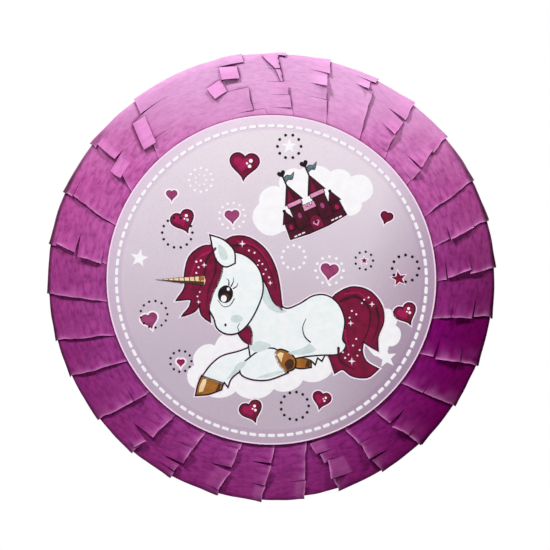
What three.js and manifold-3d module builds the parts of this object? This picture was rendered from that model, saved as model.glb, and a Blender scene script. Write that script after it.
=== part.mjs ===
// A drum pinata: a flat card drum dressed in crepe-paper strips, with a round picture on its front.
// Millimetres, +Z up. The drum's axis lies along Y and its picture faces -Y. The origin is where the
// drum hangs from: the middle of its two cord holes, at the top of the crepe.
import * as THREE from "three";
import { mergeVertices } from "three/addons/utils/BufferGeometryUtils.js";
import Module from "manifold-3d";

const wasm = await Module();
wasm.setup();

// Driving dimensions
const OVERALL_RADIUS = 200; // over the crepe
const OVERALL_DEPTH = 100; // over the picture and the back cover
const BOARD = 3; // corrugated card
const SHEET = 0.5; // picture card and back cover
const CREPE = 1.2; // the few overlapping layers of a strip, pressed together
const TAPE = 0.5;
const GAP = 0.3; // between pieces that touch
const RIM_RADIUS = 4; // rounding of the drum's rim, over the crepe

// How finely curves are faceted
const STEPS_AROUND = 72; // flats in every full circle
const RIM_OUTER_STEPS = 2; // flats in the rounding of the crepe's outside
const RIM_INNER_STEPS = 1; // and of every layer under it
const CORNER_STEPS = 3;
const CORD_HOLE_SIDES = 12;
const SLICE_STEP = 45; // degrees between the corners of the fan that cuts a slice out

const PICTURE_RADIUS = 148;
const PICTURE_DROP = 2; // the picture is glued a little below the middle
const BACK_COVER_RADIUS = 150;
const CREPE_INNER_RADIUS = 130; // the strips' ends, under the picture and the back cover
const TAPE_WIDTH = 16; // of each of the tape's two legs

const FLAP_WIDTH = 90;
const FLAP_HEIGHT = 80;
const FLAP_TOP = 60; // the crease, above the drum's middle
const FLAP_CORNER = 6;
const FLAP_CUT = 0.5; // the knife cut round the flap
const WINDOW_MARGIN = 8; // from the flap to the window's edge in the back cover

const CORD_HOLE_RADIUS = 2;
const CORD_HOLE_SPACING = 40; // along the drum's axis
const CORD_HOLE_CUT = 24; // the cutter's length: through the crepe, the band and the hanger plate
const INNER_PATCH_DEPTH = 70; // hanger plate and splices, along the drum's axis
const HANGER_HALF_ANGLE = 12; // degrees
const SPLICE_HALF_ANGLE = 9;

// The strips' free edges, in degrees from the top. Each strip ends at the next edge down its own side.
const RIGHT_EDGES = [-7, 5, 17, 30, 41, 53, 66, 77, 89, 102, 115, 127, 140, 152, 164];
const LEFT_EDGES = [38, 55, 69, 83, 96, 108, 118, 131, 143, 155, 168, 179, 190];
const STRIP_GAP = 0.15; // degrees between two strips

// Layers, worked inwards from the overall size
const PICTURE_FACE = OVERALL_DEPTH / 2;
const CREPE_FACE = PICTURE_FACE - SHEET - GAP;
const TAPE_FACE = CREPE_FACE - CREPE - GAP;
const BOARD_FACE = TAPE_FACE - TAPE - GAP;
const TAPE_RADIUS = OVERALL_RADIUS - CREPE - GAP;
const BOARD_RADIUS = TAPE_RADIUS - TAPE - GAP;
const BAND_INNER_RADIUS = BOARD_RADIUS - BOARD;
const PANEL_RADIUS = BAND_INNER_RADIUS - GAP;
// every layer's rim rounding has this one centre
const RIM_CENTRE_RADIUS = OVERALL_RADIUS - RIM_RADIUS;
const RIM_CENTRE_Y = CREPE_FACE - RIM_RADIUS;
const BEYOND = 3 * OVERALL_RADIUS; // well past the drum, for cutters

const COLOURS = {
  crepeLight: "#df9dcf",
  crepeDark: "#70175a",
  card: "#b08a5e",
  tape: "#c4a173",
  picture: "#e6dbe6",
  backCover: "#e9e3dc",
};

const radians = THREE.MathUtils.degToRad;

function paper(colour, roughness = 0.9) {
  return new THREE.MeshStandardMaterial({ color: colour, roughness, metalness: 0 });
}

function toSolid(geometry) {
  const bare = geometry.clone();
  bare.deleteAttribute("normal");
  bare.deleteAttribute("uv");
  const merged = mergeVertices(bare, 1e-4);
  const mesh = new wasm.Mesh({
    numProp: 3,
    vertProperties: Float32Array.from(merged.attributes.position.array),
    triVerts: Uint32Array.from(merged.index.array),
  });
  mesh.merge();
  return new wasm.Manifold(mesh);
}

function toGeometry(solid) {
  const mesh = solid.getMesh();
  const geometry = new THREE.BufferGeometry();
  geometry.setAttribute("position", new THREE.BufferAttribute(mesh.vertProperties, 3));
  geometry.setIndex(new THREE.BufferAttribute(mesh.triVerts, 1));
  geometry.computeVertexNormals();
  return geometry;
}

// A flat outline drawn as (x, z), made solid from y = from to y = to.
function plate(outline, from, to) {
  const geometry = new THREE.ExtrudeGeometry(outline, { depth: to - from, bevelEnabled: false });
  geometry.rotateX(Math.PI / 2);
  geometry.translate(0, to, 0);
  return toSolid(geometry);
}

// A closed profile of (radius, y) points turned about the drum's axis.
function ring(profile) {
  const closed = [...profile, profile[0]];
  return toSolid(new THREE.LatheGeometry(closed, STEPS_AROUND));
}

function disc(radius, from, to) {
  const profile = [
    new THREE.Vector2(0, from),
    new THREE.Vector2(radius, from),
    new THREE.Vector2(radius, to),
    new THREE.Vector2(0, to),
  ];
  return toSolid(new THREE.LatheGeometry(profile, STEPS_AROUND));
}

function direction(degrees, radius) {
  return new THREE.Vector2(radius * Math.sin(radians(degrees)), radius * Math.cos(radians(degrees)));
}

// The slice of a ring between two angles from the top.
function slice(solid, from, to) {
  const corners = [new THREE.Vector2(0, 0), direction(from, BEYOND)];
  for (let angle = from + SLICE_STEP; angle < to; angle += SLICE_STEP) {
    corners.push(direction(angle, BEYOND));
  }
  corners.push(direction(to, BEYOND));
  return solid.intersect(plate(new THREE.Shape(corners.reverse()), -OVERALL_DEPTH, OVERALL_DEPTH));
}

// Part of the rim's rounding: an arc about the rim's centre, from the face (90) to the side (0).
function rimArc(radius, side, steps) {
  const points = [];
  for (let i = 0; i <= steps; i++) {
    const angle = radians(90 - (90 * i) / steps);
    const y = RIM_CENTRE_Y + radius * Math.sin(angle);
    points.push(new THREE.Vector2(RIM_CENTRE_RADIUS + radius * Math.cos(angle), side * y));
  }
  return points;
}

function roundedRectangle(width, top, bottom, corner) {
  const half = width / 2;
  const shape = new THREE.Shape();
  shape.moveTo(-half, top);
  shape.lineTo(-half, bottom + corner);
  shape.absarc(-half + corner, bottom + corner, corner, Math.PI, 1.5 * Math.PI);
  shape.lineTo(half - corner, bottom);
  shape.absarc(half - corner, bottom + corner, corner, 1.5 * Math.PI, 2 * Math.PI);
  shape.lineTo(half, top);
  shape.closePath();
  return new THREE.Shape(shape.extractPoints(CORNER_STEPS).shape);
}

function cordHoles() {
  const holes = [-1, 1].map((side) => {
    const radius = CORD_HOLE_RADIUS;
    const cutter = new THREE.CylinderGeometry(radius, radius, CORD_HOLE_CUT, CORD_HOLE_SIDES);
    cutter.rotateX(Math.PI / 2);
    cutter.translate(0, (side * CORD_HOLE_SPACING) / 2, OVERALL_RADIUS);
    return toSolid(cutter);
  });
  return holes[0].add(holes[1]);
}

function flapOpening() {
  return roundedRectangle(FLAP_WIDTH, FLAP_TOP, FLAP_TOP - FLAP_HEIGHT, FLAP_CORNER);
}

function backPanel() {
  const opening = plate(flapOpening(), 0, OVERALL_DEPTH);
  return disc(PANEL_RADIUS, BOARD_FACE - BOARD, BOARD_FACE).subtract(opening);
}

function fillFlap() {
  const width = FLAP_WIDTH - 2 * FLAP_CUT;
  const bottom = FLAP_TOP - FLAP_HEIGHT + FLAP_CUT;
  const outline = roundedRectangle(width, FLAP_TOP - FLAP_CUT, bottom, FLAP_CORNER - FLAP_CUT);
  return plate(outline, BOARD_FACE - BOARD, BOARD_FACE);
}

function backCover() {
  const width = FLAP_WIDTH + 2 * WINDOW_MARGIN;
  const bottom = FLAP_TOP - FLAP_HEIGHT - WINDOW_MARGIN;
  const window = roundedRectangle(width, FLAP_TOP + WINDOW_MARGIN, bottom, FLAP_CORNER + WINDOW_MARGIN);
  const sheet = disc(BACK_COVER_RADIUS, PICTURE_FACE - SHEET, PICTURE_FACE);
  return sheet.subtract(plate(window, 0, OVERALL_DEPTH));
}

// The side band, its edges crushed round at the rim.
function bandRing() {
  const crush = BOARD_FACE - RIM_CENTRE_Y;
  return ring([
    new THREE.Vector2(BAND_INNER_RADIUS, -BOARD_FACE),
    ...rimArc(crush, -1, RIM_INNER_STEPS),
    ...rimArc(crush, 1, RIM_INNER_STEPS).reverse(),
    new THREE.Vector2(BAND_INNER_RADIUS, BOARD_FACE),
  ]);
}

// A curved card patch on the inside of the band.
function innerPatch(middle, halfAngle) {
  const halfDepth = INNER_PATCH_DEPTH / 2;
  const patch = ring([
    new THREE.Vector2(PANEL_RADIUS - BOARD, -halfDepth),
    new THREE.Vector2(PANEL_RADIUS, -halfDepth),
    new THREE.Vector2(PANEL_RADIUS, halfDepth),
    new THREE.Vector2(PANEL_RADIUS - BOARD, halfDepth),
  ]);
  return slice(patch, middle - halfAngle, middle + halfAngle);
}

// Paper tape folded over the drum's rim, half on the panel and half on the band.
function rimTape(side) {
  const inner = BOARD_FACE + GAP - RIM_CENTRE_Y;
  const faceEnd = RIM_CENTRE_RADIUS - TAPE_WIDTH;
  const sideEnd = RIM_CENTRE_Y - TAPE_WIDTH;
  const profile = [
    new THREE.Vector2(faceEnd, side * TAPE_FACE),
    ...rimArc(inner + TAPE, side, RIM_INNER_STEPS),
    new THREE.Vector2(TAPE_RADIUS, side * sideEnd),
    new THREE.Vector2(TAPE_RADIUS - TAPE, side * sideEnd),
    ...rimArc(inner, side, RIM_INNER_STEPS).reverse(),
    new THREE.Vector2(faceEnd, side * (TAPE_FACE - TAPE)),
  ];
  return ring(side < 0 ? profile : profile.reverse());
}

// All the crepe at once: on the front, round the rim, along the side and onto the back.
function crepeRing() {
  const inner = RIM_RADIUS - CREPE;
  return ring([
    new THREE.Vector2(CREPE_INNER_RADIUS, -CREPE_FACE),
    ...rimArc(RIM_RADIUS, -1, RIM_OUTER_STEPS),
    ...rimArc(RIM_RADIUS, 1, RIM_OUTER_STEPS).reverse(),
    new THREE.Vector2(CREPE_INNER_RADIUS, CREPE_FACE),
    new THREE.Vector2(CREPE_INNER_RADIUS, CREPE_FACE - CREPE),
    ...rimArc(inner, 1, RIM_INNER_STEPS),
    ...rimArc(inner, -1, RIM_INNER_STEPS).reverse(),
    new THREE.Vector2(CREPE_INNER_RADIUS, CREPE - CREPE_FACE),
  ]);
}

// The strips from the crown down each side to the bottom, as {name, from, to} in degrees from the top.
function stripSpans() {
  const label = (number) => String(number).padStart(2, "0");
  const spans = [{ name: "crepe_crown", from: -LEFT_EDGES[0], to: RIGHT_EDGES[0] }];
  for (let i = 1; i < RIGHT_EDGES.length; i++) {
    spans.push({ name: `crepe_right_${label(i + 1)}`, from: RIGHT_EDGES[i - 1], to: RIGHT_EDGES[i] });
  }
  for (let i = 1; i < LEFT_EDGES.length; i++) {
    spans.push({ name: `crepe_left_${label(i + 1)}`, from: -LEFT_EDGES[i], to: -LEFT_EDGES[i - 1] });
  }
  spans.push({ name: "crepe_bottom", from: RIGHT_EDGES.at(-1), to: 360 - LEFT_EDGES.at(-1) });
  return spans;
}

function stripColour({ from, to }) {
  const height = (1 + Math.cos(radians((from + to) / 2))) / 2;
  return new THREE.Color(COLOURS.crepeDark).lerp(new THREE.Color(COLOURS.crepeLight), height);
}

const drum = new THREE.Group();
drum.position.z = -OVERALL_RADIUS;

function place(name, solid, material) {
  const mesh = new THREE.Mesh(toGeometry(solid), material);
  mesh.name = name;
  drum.add(mesh);
  return mesh;
}

function addShell() {
  const card = paper(COLOURS.card, 0.95);
  place("front_panel", disc(PANEL_RADIUS, -BOARD_FACE, BOARD - BOARD_FACE), card);
  place("back_panel", backPanel(), card.clone());
  place("fill_flap", fillFlap(), card.clone());

  const band = bandRing();
  const holes = cordHoles();
  const halfGap = STRIP_GAP / 2;
  place("side_band_upper", slice(band, halfGap - 90, 90 - halfGap).subtract(holes), card.clone());
  place("side_band_lower", slice(band, 90 + halfGap, 270 - halfGap), card.clone());
  place("hanger_plate", innerPatch(0, HANGER_HALF_ANGLE).subtract(holes), card.clone());
  place("splice_left", innerPatch(-90, SPLICE_HALF_ANGLE), card.clone());
  place("splice_right", innerPatch(90, SPLICE_HALF_ANGLE), card.clone());
}

function addTape() {
  place("front_rim_tape", rimTape(-1), paper(COLOURS.tape, 0.7));
  place("back_rim_tape", rimTape(1), paper(COLOURS.tape, 0.7));
}

function addCrepe() {
  const crepe = crepeRing();
  const holes = cordHoles();
  for (const span of stripSpans()) {
    let strip = slice(crepe, span.from + STRIP_GAP / 2, span.to - STRIP_GAP / 2);
    if (span.from < 0 && span.to > 0) strip = strip.subtract(holes);
    place(span.name, strip, paper(stripColour(span)));
  }
}

function addCovers() {
  const picture = disc(PICTURE_RADIUS, -PICTURE_FACE, SHEET - PICTURE_FACE);
  place("picture_disc", picture, paper(COLOURS.picture, 0.55)).position.z = -PICTURE_DROP;
  place("back_cover", backCover(), paper(COLOURS.backCover, 0.8));
}

addShell();
addTape();
addCrepe();
addCovers();

const pinata = new THREE.Group();
pinata.add(drum);

export default pinata;
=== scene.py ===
"""The looks of the drum pinata, built around its packed card drum.

Lengths are in metres in the row frame: +Z up, the picture faces -Y, and the drum hangs from the origin.
Angles round the drum are clockwise from its top, as seen from the front.
"""
import math
import random

import bpy
import numpy as np
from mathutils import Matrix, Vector, geometry, noise


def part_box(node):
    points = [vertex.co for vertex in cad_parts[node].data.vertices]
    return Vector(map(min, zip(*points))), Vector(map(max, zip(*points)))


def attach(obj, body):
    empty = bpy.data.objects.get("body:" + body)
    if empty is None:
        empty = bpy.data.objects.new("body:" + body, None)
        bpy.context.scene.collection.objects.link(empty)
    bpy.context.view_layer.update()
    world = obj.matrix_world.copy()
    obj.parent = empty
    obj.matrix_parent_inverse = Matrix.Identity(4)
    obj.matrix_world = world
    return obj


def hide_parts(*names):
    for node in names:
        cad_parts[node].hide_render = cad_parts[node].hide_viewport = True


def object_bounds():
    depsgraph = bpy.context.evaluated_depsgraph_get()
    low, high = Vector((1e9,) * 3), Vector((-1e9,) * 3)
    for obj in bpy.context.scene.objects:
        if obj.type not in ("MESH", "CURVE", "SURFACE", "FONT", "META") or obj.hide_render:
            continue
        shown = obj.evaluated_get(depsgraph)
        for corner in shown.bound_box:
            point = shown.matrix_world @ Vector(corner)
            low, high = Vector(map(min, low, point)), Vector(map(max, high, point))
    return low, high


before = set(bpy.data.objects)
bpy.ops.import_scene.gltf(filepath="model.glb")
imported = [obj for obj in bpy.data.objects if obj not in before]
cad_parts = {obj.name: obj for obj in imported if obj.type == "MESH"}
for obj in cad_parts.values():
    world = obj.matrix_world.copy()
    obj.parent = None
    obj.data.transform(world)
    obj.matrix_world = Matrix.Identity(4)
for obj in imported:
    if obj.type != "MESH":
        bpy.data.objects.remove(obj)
CAD_LOW, CAD_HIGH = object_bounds()


def srgb(red, green, blue):
    """A colour given as 0 to 255 in sRGB, as linear values for a shader."""
    def linear(value):
        value /= 255
        return value / 12.92 if value <= 0.04045 else ((value + 0.055) / 1.055) ** 2.4
    return linear(red), linear(green), linear(blue), 1.0


MM = 0.001
TINY = 1e-9  # for telling two places apart that should be the same
SHELL = "shell"
FLAP = "flap"

# The drum, from the CAD model's box
CENTRE_X = (CAD_LOW.x + CAD_HIGH.x) / 2
CENTRE_Z = (CAD_LOW.z + CAD_HIGH.z) / 2
RADIUS = (CAD_HIGH.x - CAD_LOW.x) / 2
FACE_Y = -CAD_LOW.y  # the picture's outer face
CREPE_LOW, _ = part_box("crepe_crown")
PICTURE_LOW, PICTURE_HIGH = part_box("picture_disc")
TAPE_LOW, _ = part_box("front_rim_tape")
FLAP_LOW, FLAP_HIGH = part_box("fill_flap")

# Crepe strips
STRIP_HALF_WIDTH = 42 * MM
CROWN_EXTRA_WIDTH = 6 * MM  # the crown strip laps a little over both its neighbours
EDGE_RADIUS = 174 * MM  # where a strip's free edge meets its CAD edge's angle
RIM_RADIUS = 4 * MM
CREPE_INNER_RADIUS = 130 * MM
SLIT_DEPTH = 19 * MM
CROWN_SLIT_DEPTH = 28 * MM
SLIT_GAP = 0.35 * MM
PAPER = 0.22 * MM
ROW_STEP = 2.35 * MM
ROWS_PER_TAB = (5, 6, 6, 7)
FIRST_LAYER = 0.25 * MM  # from the tape to the lowest strip
STACK_AT_PICTURE = 1.0 * MM  # how far a strip's free edge rides up on the strips under it
STACK_AT_RIM = 2.2 * MM
COLUMN_STEP = 3.6 * MM
EDGE_WAVE = 1.5 * MM  # how far a free edge wanders from straight
EDGE_TEAR = 0.7 * MM  # and how far it's torn between one row and the next
EDGE_WAVES = 38  # per metre
EDGE_TEARS = 5  # for each wave
EDGE_LIFT = 1.8 * MM
FOLD_HEIGHT = 0.65 * MM  # the shallow folds that run from the picture to the rim
FOLDS_PER_METRE, FOLDS_ALONG = 62.0, 15  # round the drum, and along a strip
# Each strip's own wrinkles: their height, how many per metre along and across it, and their pattern's number
WRINKLES = [(0.25 * MM, 42, 30, 91), (0.16 * MM, 210, 24, 57), (0.22 * MM, 120, 70, 73)]
HELD_WRINKLES = 0.2  # the share that's left under the picture, and the same for a free edge's lift
HELD_LIFT = 0.08
LIFT_VARIES = 0.8  # how unevenly a free edge lifts along the strip
FRONT_RAGGED = 0.35  # how uneven the front's tabs are, next to the side's
RIM_HOLD = 0.6  # the share of a tab's lift that's lost where the strip turns over the rim
RIM_HOLD_REACH = 8 * MM
HELD_REACH = 14 * MM  # how far the picture's hold on the strips reaches past its edge
# The painted highlight along a free edge and the painted lighter zone behind it: how far each reaches in,
# how light it is and how much that varies
EDGE_HIGHLIGHT, HIGHLIGHT, HIGHLIGHT_VARIES = 0.8 * MM, 0.70, 0.9
LIT_ZONE_REACH, LIT_ZONE, LIT_ZONE_VARIES = 4.5 * MM, 0.18, 0.40
HIGHLIGHT_GRAIN = 120  # patches per metre
LIT_ZONE_GRAIN = 150, 120  # along the strip, and across it
# How unevenly the loose tabs lie, as ranges: a share longer, and millimetres askew, up and twisted
TAB_STRETCH, TAB_SKEW, TAB_LIFT, TAB_TWIST = (-0.07, 0.09), (-1.4, 1.4), (-0.5, 1.3), (-0.8, 0.8)
RAISED_TAB_LIFT = 0.4 * MM

SEED = 7

# Camera and stage
CAMERA_DISTANCE = 1.6
CAMERA_ELEVATION = 1.0  # degrees above level
VIEW_WIDTH = 0.492  # what the image takes in at the picture's face
AIM_RIGHT = 3.3 * MM
AIM_UP = 2.1 * MM
FLOOR_DROP = 0.8
FLOOR_REACH = 12.0
FLOOR_COLOUR = (0.75, 0.74, 0.75, 1.0)
AMBIENT = 0.08
AMBIENT_COLOUR = (1.0, 0.74, 0.92, 1.0)
# Square lights aimed at the drum's middle: the name, the place from that middle, the size and the power
LIGHTS = [
    ("key_left", (-0.95, -1.50, 1.75), 0.26, 40.0),
    ("key_right", (0.75, -1.50, 1.85), 0.26, 27.0),
    ("fill", (0.0, -1.8, -0.3), 1.0, 2.2),
    ("back_left", (0.9, 1.2, 0.9), 0.7, 16.0),
    ("back_right", (-0.9, 1.1, 0.9), 0.9, 9.0),
]

# Corrugated card
FLUTE_PITCH = 6.4 * MM
LINER = 0.35 * MM  # thick
FLUTE_PAPER = 0.25 * MM
FLUTE_STEP = 0.8 * MM
CREASE_WIDTH = 4.0 * MM
CREASE_DEPTH = 0.9 * MM
CREASE_STEPS = 6
FLAP_CORNER = 5.5 * MM
CARD_TONES = [(0.30, srgb(141, 106, 70)), (0.50, srgb(172, 134, 92)), (0.72, srgb(190, 153, 110))]
# Painted shade for the hollows between the flutes in a cut edge
FLUTE_HOLLOW_SHADE = srgb(70, 46, 26)

# The holes for the hanging cord, through the top of the drum
CORD_HOLE_RADIUS = 2.0 * MM
CORD_HOLE_OFF_MIDDLE = 20.0 * MM
CORD_HOLE_SIDES = 16
CORD_PEG_REACH = 8.0 * MM  # of the peg that cuts a hole, above and below the paper

# Crepe colours
DYE_TOP = srgb(231, 172, 220)
MIDDLE_DYE_AND_RIM_SHADE = srgb(194, 89, 163), srgb(204, 103, 177)  # at the rim, darkened there by painted shade, and at the picture
LEFT_DYE_AND_RIM_SHADE = srgb(138, 42, 115), srgb(147, 52, 128)
RIGHT_DYE_AND_RIM_SHADE = srgb(100, 0, 77), srgb(119, 4, 100)
PAINTED_CONTACT_SHADE = (0.26, 0.035, 0.22, 1.0)  # painted shade: what's left of the colour deep under the free edges
RIDGE_LIGHT = (1.22, 1.30, 1.22, 1.0)  # painted light on the ridges and painted shade in the creases of the paper's mottled bumps, as a share of its own colour
CREASE_SHADE = (0.68, 0.52, 0.66, 1.0)
# The colour that the painted edge highlights and the paler tab backs lean to, and how far
HIGHLIGHT_AND_BACK, HIGHLIGHT_AND_BACK_SHARE = srgb(255, 168, 236), 0.62
PAINTED_RIM_SHADE = (0.22, 0.35, 0.22, 1.0)  # painted shade where the paper turns over the rim, away from the light: what's left of the colour there
HIDDEN_REACH = 4.2 * MM  # how close something must be to hide the paper from the light
RIM_SHADE_REACH = 3.4 * MM  # how far the painted rim shade reaches in from the rim
DYE_RIGHT_AT = 150 * MM  # how far right of the middle the dye has its right-hand colour
RIM_DEEPENING_FROM, RIM_DEEPENING_TO = 155 * MM, 190 * MM  # where the painted shade towards the rim starts and where it is full, from the picture's middle
DYE_MOTTLE = 6 * MM  # how far the colours' bounds wander up and down
DYE_SHIFT = 7 * MM  # and how far they shift from strip to strip
DYE_SLANT = 0.064  # how much higher the dark dye reaches on the right, per metre
# How much of a colour there is, from the drum's bottom (0) to its top (1)
DYE_MIDDLE_SHARE = [(0.36, 0.0), (0.50, 0.19), (0.61, 0.50), (0.72, 0.76), (0.80, 1.0)]
DYE_TOP_SHARE = [(0.72, 0.0), (0.80, 0.24), (0.84, 0.58), (0.88, 0.76), (0.94, 1.0)]

# The printed picture, in metres
PICTURE_X = (PICTURE_LOW.x + PICTURE_HIGH.x) / 2
PICTURE_Z = (PICTURE_LOW.z + PICTURE_HIGH.z) / 2
PICTURE_RADIUS = (PICTURE_HIGH.x - PICTURE_LOW.x) / 2
CARD_Z = PICTURE_Z - 0.4 * MM  # the card was glued on a little low
PRINT_Z = PICTURE_Z - 1.0 * MM  # and the print isn't quite in its middle
PICTURE_EDGE_IN = RADIUS - RIM_RADIUS - PICTURE_RADIUS  # the picture's edge, in from the rim's rounding
CARD_RISE = 0.9 * MM  # how far the card stands off the crepe in its middle
CARD_TILT = 0.65 * MM  # how much more that is at its loosest side
CARD_LOOSE_SIDE = math.radians(140)  # clockwise from the top
CARD_TRIM = 0.6 * MM  # how much smaller the cut card is than its pattern
MARGIN_FROM = 134.0 * MM  # where the duller margin starts, from the picture's middle
EDGE_LINE = 1.5 * MM  # the width of the light line at the cut edge
CARD_SIDES = 256
# The print's ground from its bottom (0) to its top (1), and the shade over its right side
PRINT_GROUND = [
    (0.04, srgb(199, 182, 197)), (0.18, srgb(201, 187, 202)), (0.30, srgb(203, 189, 205)),
    (0.43, srgb(211, 196, 210)), (0.60, srgb(221, 209, 221)), (0.72, srgb(228, 217, 227)),
    (0.93, srgb(237, 227, 235)), (1.00, srgb(243, 235, 242)),
]
PRINT_SHADE = (0.72, 0.65, 0.71, 1.0)
PRINT_SHADE_FROM, PRINT_SHADE_TO = 75 * MM, 130 * MM  # right of the middle
PRINT_SHADE_SLANT = 0.3
PRINT_MARGIN = (0.95, 0.88, 0.96, 1.0)
PRINT_SPECK = (0.86, 0.85, 0.86, 1.0)
PRINT_EDGE = srgb(255, 224, 246)
PRINT_LINE = 0.4 * MM  # how soft the margin's and the cut edge's lines are
INK_ROOT = 0.1 * MM  # how far an inked shape starts inside the card
INK_FIRST = 0.03 * MM  # how far the lowest ink stands off the card
INK_STEP = 0.03 * MM  # and how much further each level does

# The printed picture's drawing, in millimetres
STITCH_RING = 138.5
STITCH_COUNT = 104
STITCH_LENGTH = 6.3
STITCH_WIDTH = 2.7
CASTLE_X, CASTLE_Y, CASTLE_TILT = 42.5, 47.3, 24.0
HORN_WIDTH = 8.4
HALO = 2.4
COAT_PEN, HAIR_PEN = 1.4, 1.2


def smoothstep(low, high, value):
    """0 up to the low value and 1 from the high one, easing in and out between them."""
    t = min(1.0, max(0.0, (value - low) / (high - low)))
    return t * t * (3 - 2 * t)


def roughness_at(x, y, z):
    """Smooth noise, about -1 to 1."""
    return noise.noise(Vector((x, y, z)))


# ---------------------------------------------------------------- meshes

def new_mesh(name, vertices, faces, materials=()):
    mesh = bpy.data.meshes.new(name)
    mesh.from_pydata(vertices, [], faces)
    for material in materials:
        mesh.materials.append(material)
    return mesh


def new_object(name, data):
    """An object for a mesh, a light or a camera, linked to the scene."""
    item = bpy.data.objects.new(name, data)
    bpy.context.scene.collection.objects.link(item)
    return item


def add_object(name, vertices, faces, materials, body=SHELL, face_material=None, smooth_angle=None):
    """A mesh object in the row frame that rides on a body."""
    mesh = new_mesh(name, vertices, faces, materials)
    if face_material is not None:
        mesh.polygons.foreach_set("material_index", face_material)
    if smooth_angle is not None:
        smooth(mesh, smooth_angle)
    mesh.validate()
    mesh.update()
    item = new_object(name, mesh)
    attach(item, body)
    return item


def smooth(mesh, angle):
    """Smooth shading, but for edges sharper than the angle in degrees."""
    mesh.shade_smooth()
    mesh.set_sharp_from_angle(angle=math.radians(angle))


def thicken(item, thickness):
    """Gives a sheet its paper's thickness, half to each side."""
    paper = item.modifiers.new("paper", "SOLIDIFY")
    paper.thickness = thickness
    paper.offset = 0
    apply_modifiers(item)


def apply_modifiers(item):
    """Bakes an object's modifiers into its mesh."""
    bpy.context.view_layer.update()
    evaluated = item.evaluated_get(bpy.context.evaluated_depsgraph_get())
    mesh = bpy.data.meshes.new_from_object(evaluated)
    item.modifiers.clear()
    item.data = mesh


# ---------------------------------------------------------------- materials

class Shader:
    """A principled material and the few node chains that all the materials here are made of."""

    def __init__(self, name, roughness=0.8, specular=0.3, sheen=0.0):
        self.material = bpy.data.materials.new(name)
        self.material.use_nodes = True
        self.tree = self.material.node_tree
        self.surface = self.tree.nodes["Principled BSDF"]
        self.surface.inputs["Roughness"].default_value = roughness
        self.surface.inputs["Specular IOR Level"].default_value = specular
        self.surface.inputs["Sheen Weight"].default_value = sheen

    def node(self, kind, **settings):
        made = self.tree.nodes.new(kind)
        for key, value in settings.items():
            setattr(made, key, value)
        return made

    def link(self, source, target):
        self.tree.links.new(source, target)

    def object_place(self):
        return self.node("ShaderNodeTexCoord").outputs["Object"]

    def map_place(self, name):
        return self.node("ShaderNodeUVMap", uv_map=name).outputs["UV"]

    def scaled(self, vector, scale):
        made = self.node("ShaderNodeMapping")
        made.inputs["Scale"].default_value = scale
        self.link(vector, made.inputs["Vector"])
        return made.outputs["Vector"]

    def noise(self, vector, scale, detail=3.0, roughness=0.55):
        made = self.node("ShaderNodeTexNoise")
        made.inputs["Scale"].default_value = scale
        made.inputs["Detail"].default_value = detail
        made.inputs["Roughness"].default_value = roughness
        self.link(vector, made.inputs["Vector"])
        return made.outputs["Fac"]

    def part(self, vector, axis):
        made = self.node("ShaderNodeSeparateXYZ")
        self.link(vector, made.inputs["Vector"])
        return made.outputs[axis]

    def radius(self, place):
        """How far from the picture's middle."""
        x = self.minus(self.part(place, "X"), PICTURE_X)
        z = self.minus(self.part(place, "Z"), CARD_Z)
        return self.math("SQRT", self.plus(self.times(x, x), self.times(z, z)))

    def hidden(self, reach, hidden_below, open_above):
        """1 where something close by hides the surface from the light, and 0 in the open."""
        made = self.node("ShaderNodeAmbientOcclusion", samples=8)
        made.inputs["Distance"].default_value = reach
        return self.spread(made.outputs["AO"], hidden_below, open_above, 1.0, 0.0)

    def attribute(self, name):
        return self.node("ShaderNodeAttribute", attribute_name=name).outputs["Fac"]

    def feed(self, socket, value):
        """Sets a socket to a constant, or links it to another node's output."""
        if isinstance(value, (int, float, tuple)):
            socket.default_value = value
        else:
            self.link(value, socket)

    def math(self, operation, first, second=0.0):
        made = self.node("ShaderNodeMath", operation=operation)
        self.feed(made.inputs[0], first)
        self.feed(made.inputs[1], second)
        return made.outputs["Value"]

    def plus(self, first, second):
        return self.math("ADD", first, second)

    def minus(self, first, second):
        return self.math("SUBTRACT", first, second)

    def times(self, first, second):
        return self.math("MULTIPLY", first, second)

    def spread(self, value, low, high, new_low=0.0, new_high=1.0):
        """A value's place between low and high, as one between the new ends, and never past them."""
        made = self.node("ShaderNodeMapRange")
        for key, number in zip(("From Min", "From Max", "To Min", "To Max"), (low, high, new_low, new_high)):
            made.inputs[key].default_value = number
        self.link(value, made.inputs["Value"])
        return made.outputs["Result"]

    def ramp(self, value, stops):
        """A colour, or a plain amount, for each value from 0 to 1."""
        made = self.node("ShaderNodeValToRGB")
        elements = made.color_ramp.elements
        while len(elements) < len(stops):
            elements.new(0.5)
        for element, (position, colour) in zip(elements, stops):
            element.position = position
            element.color = colour if isinstance(colour, tuple) else (colour, colour, colour, 1.0)
        self.link(value, made.inputs["Fac"])
        return made.outputs["Color"]

    def mix(self, share, first, second, blend="MIX"):
        made = self.node("ShaderNodeMix", data_type="RGBA", blend_type=blend)
        for socket, value in ((made.inputs[0], share), (made.inputs[6], first), (made.inputs[7], second)):
            self.feed(socket, value)
        return made.outputs[2]

    def tinted(self, colour, tint):
        return self.mix(1.0, colour, tint, "MULTIPLY")

    def blend(self, first, second, share):
        """A share of the first value and the rest of the second."""
        return self.plus(self.times(first, share), self.times(second, 1 - share))

    def colour(self, source):
        self.link(source, self.surface.inputs["Base Color"])

    def bump(self, height, distance, strength=1.0):
        made = self.node("ShaderNodeBump")
        made.inputs["Strength"].default_value = strength
        made.inputs["Distance"].default_value = distance
        self.link(height, made.inputs["Height"])
        previous = self.surface.inputs["Normal"]
        if previous.is_linked:
            self.link(previous.links[0].from_socket, made.inputs["Normal"])
        self.link(made.outputs["Normal"], previous)


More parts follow.
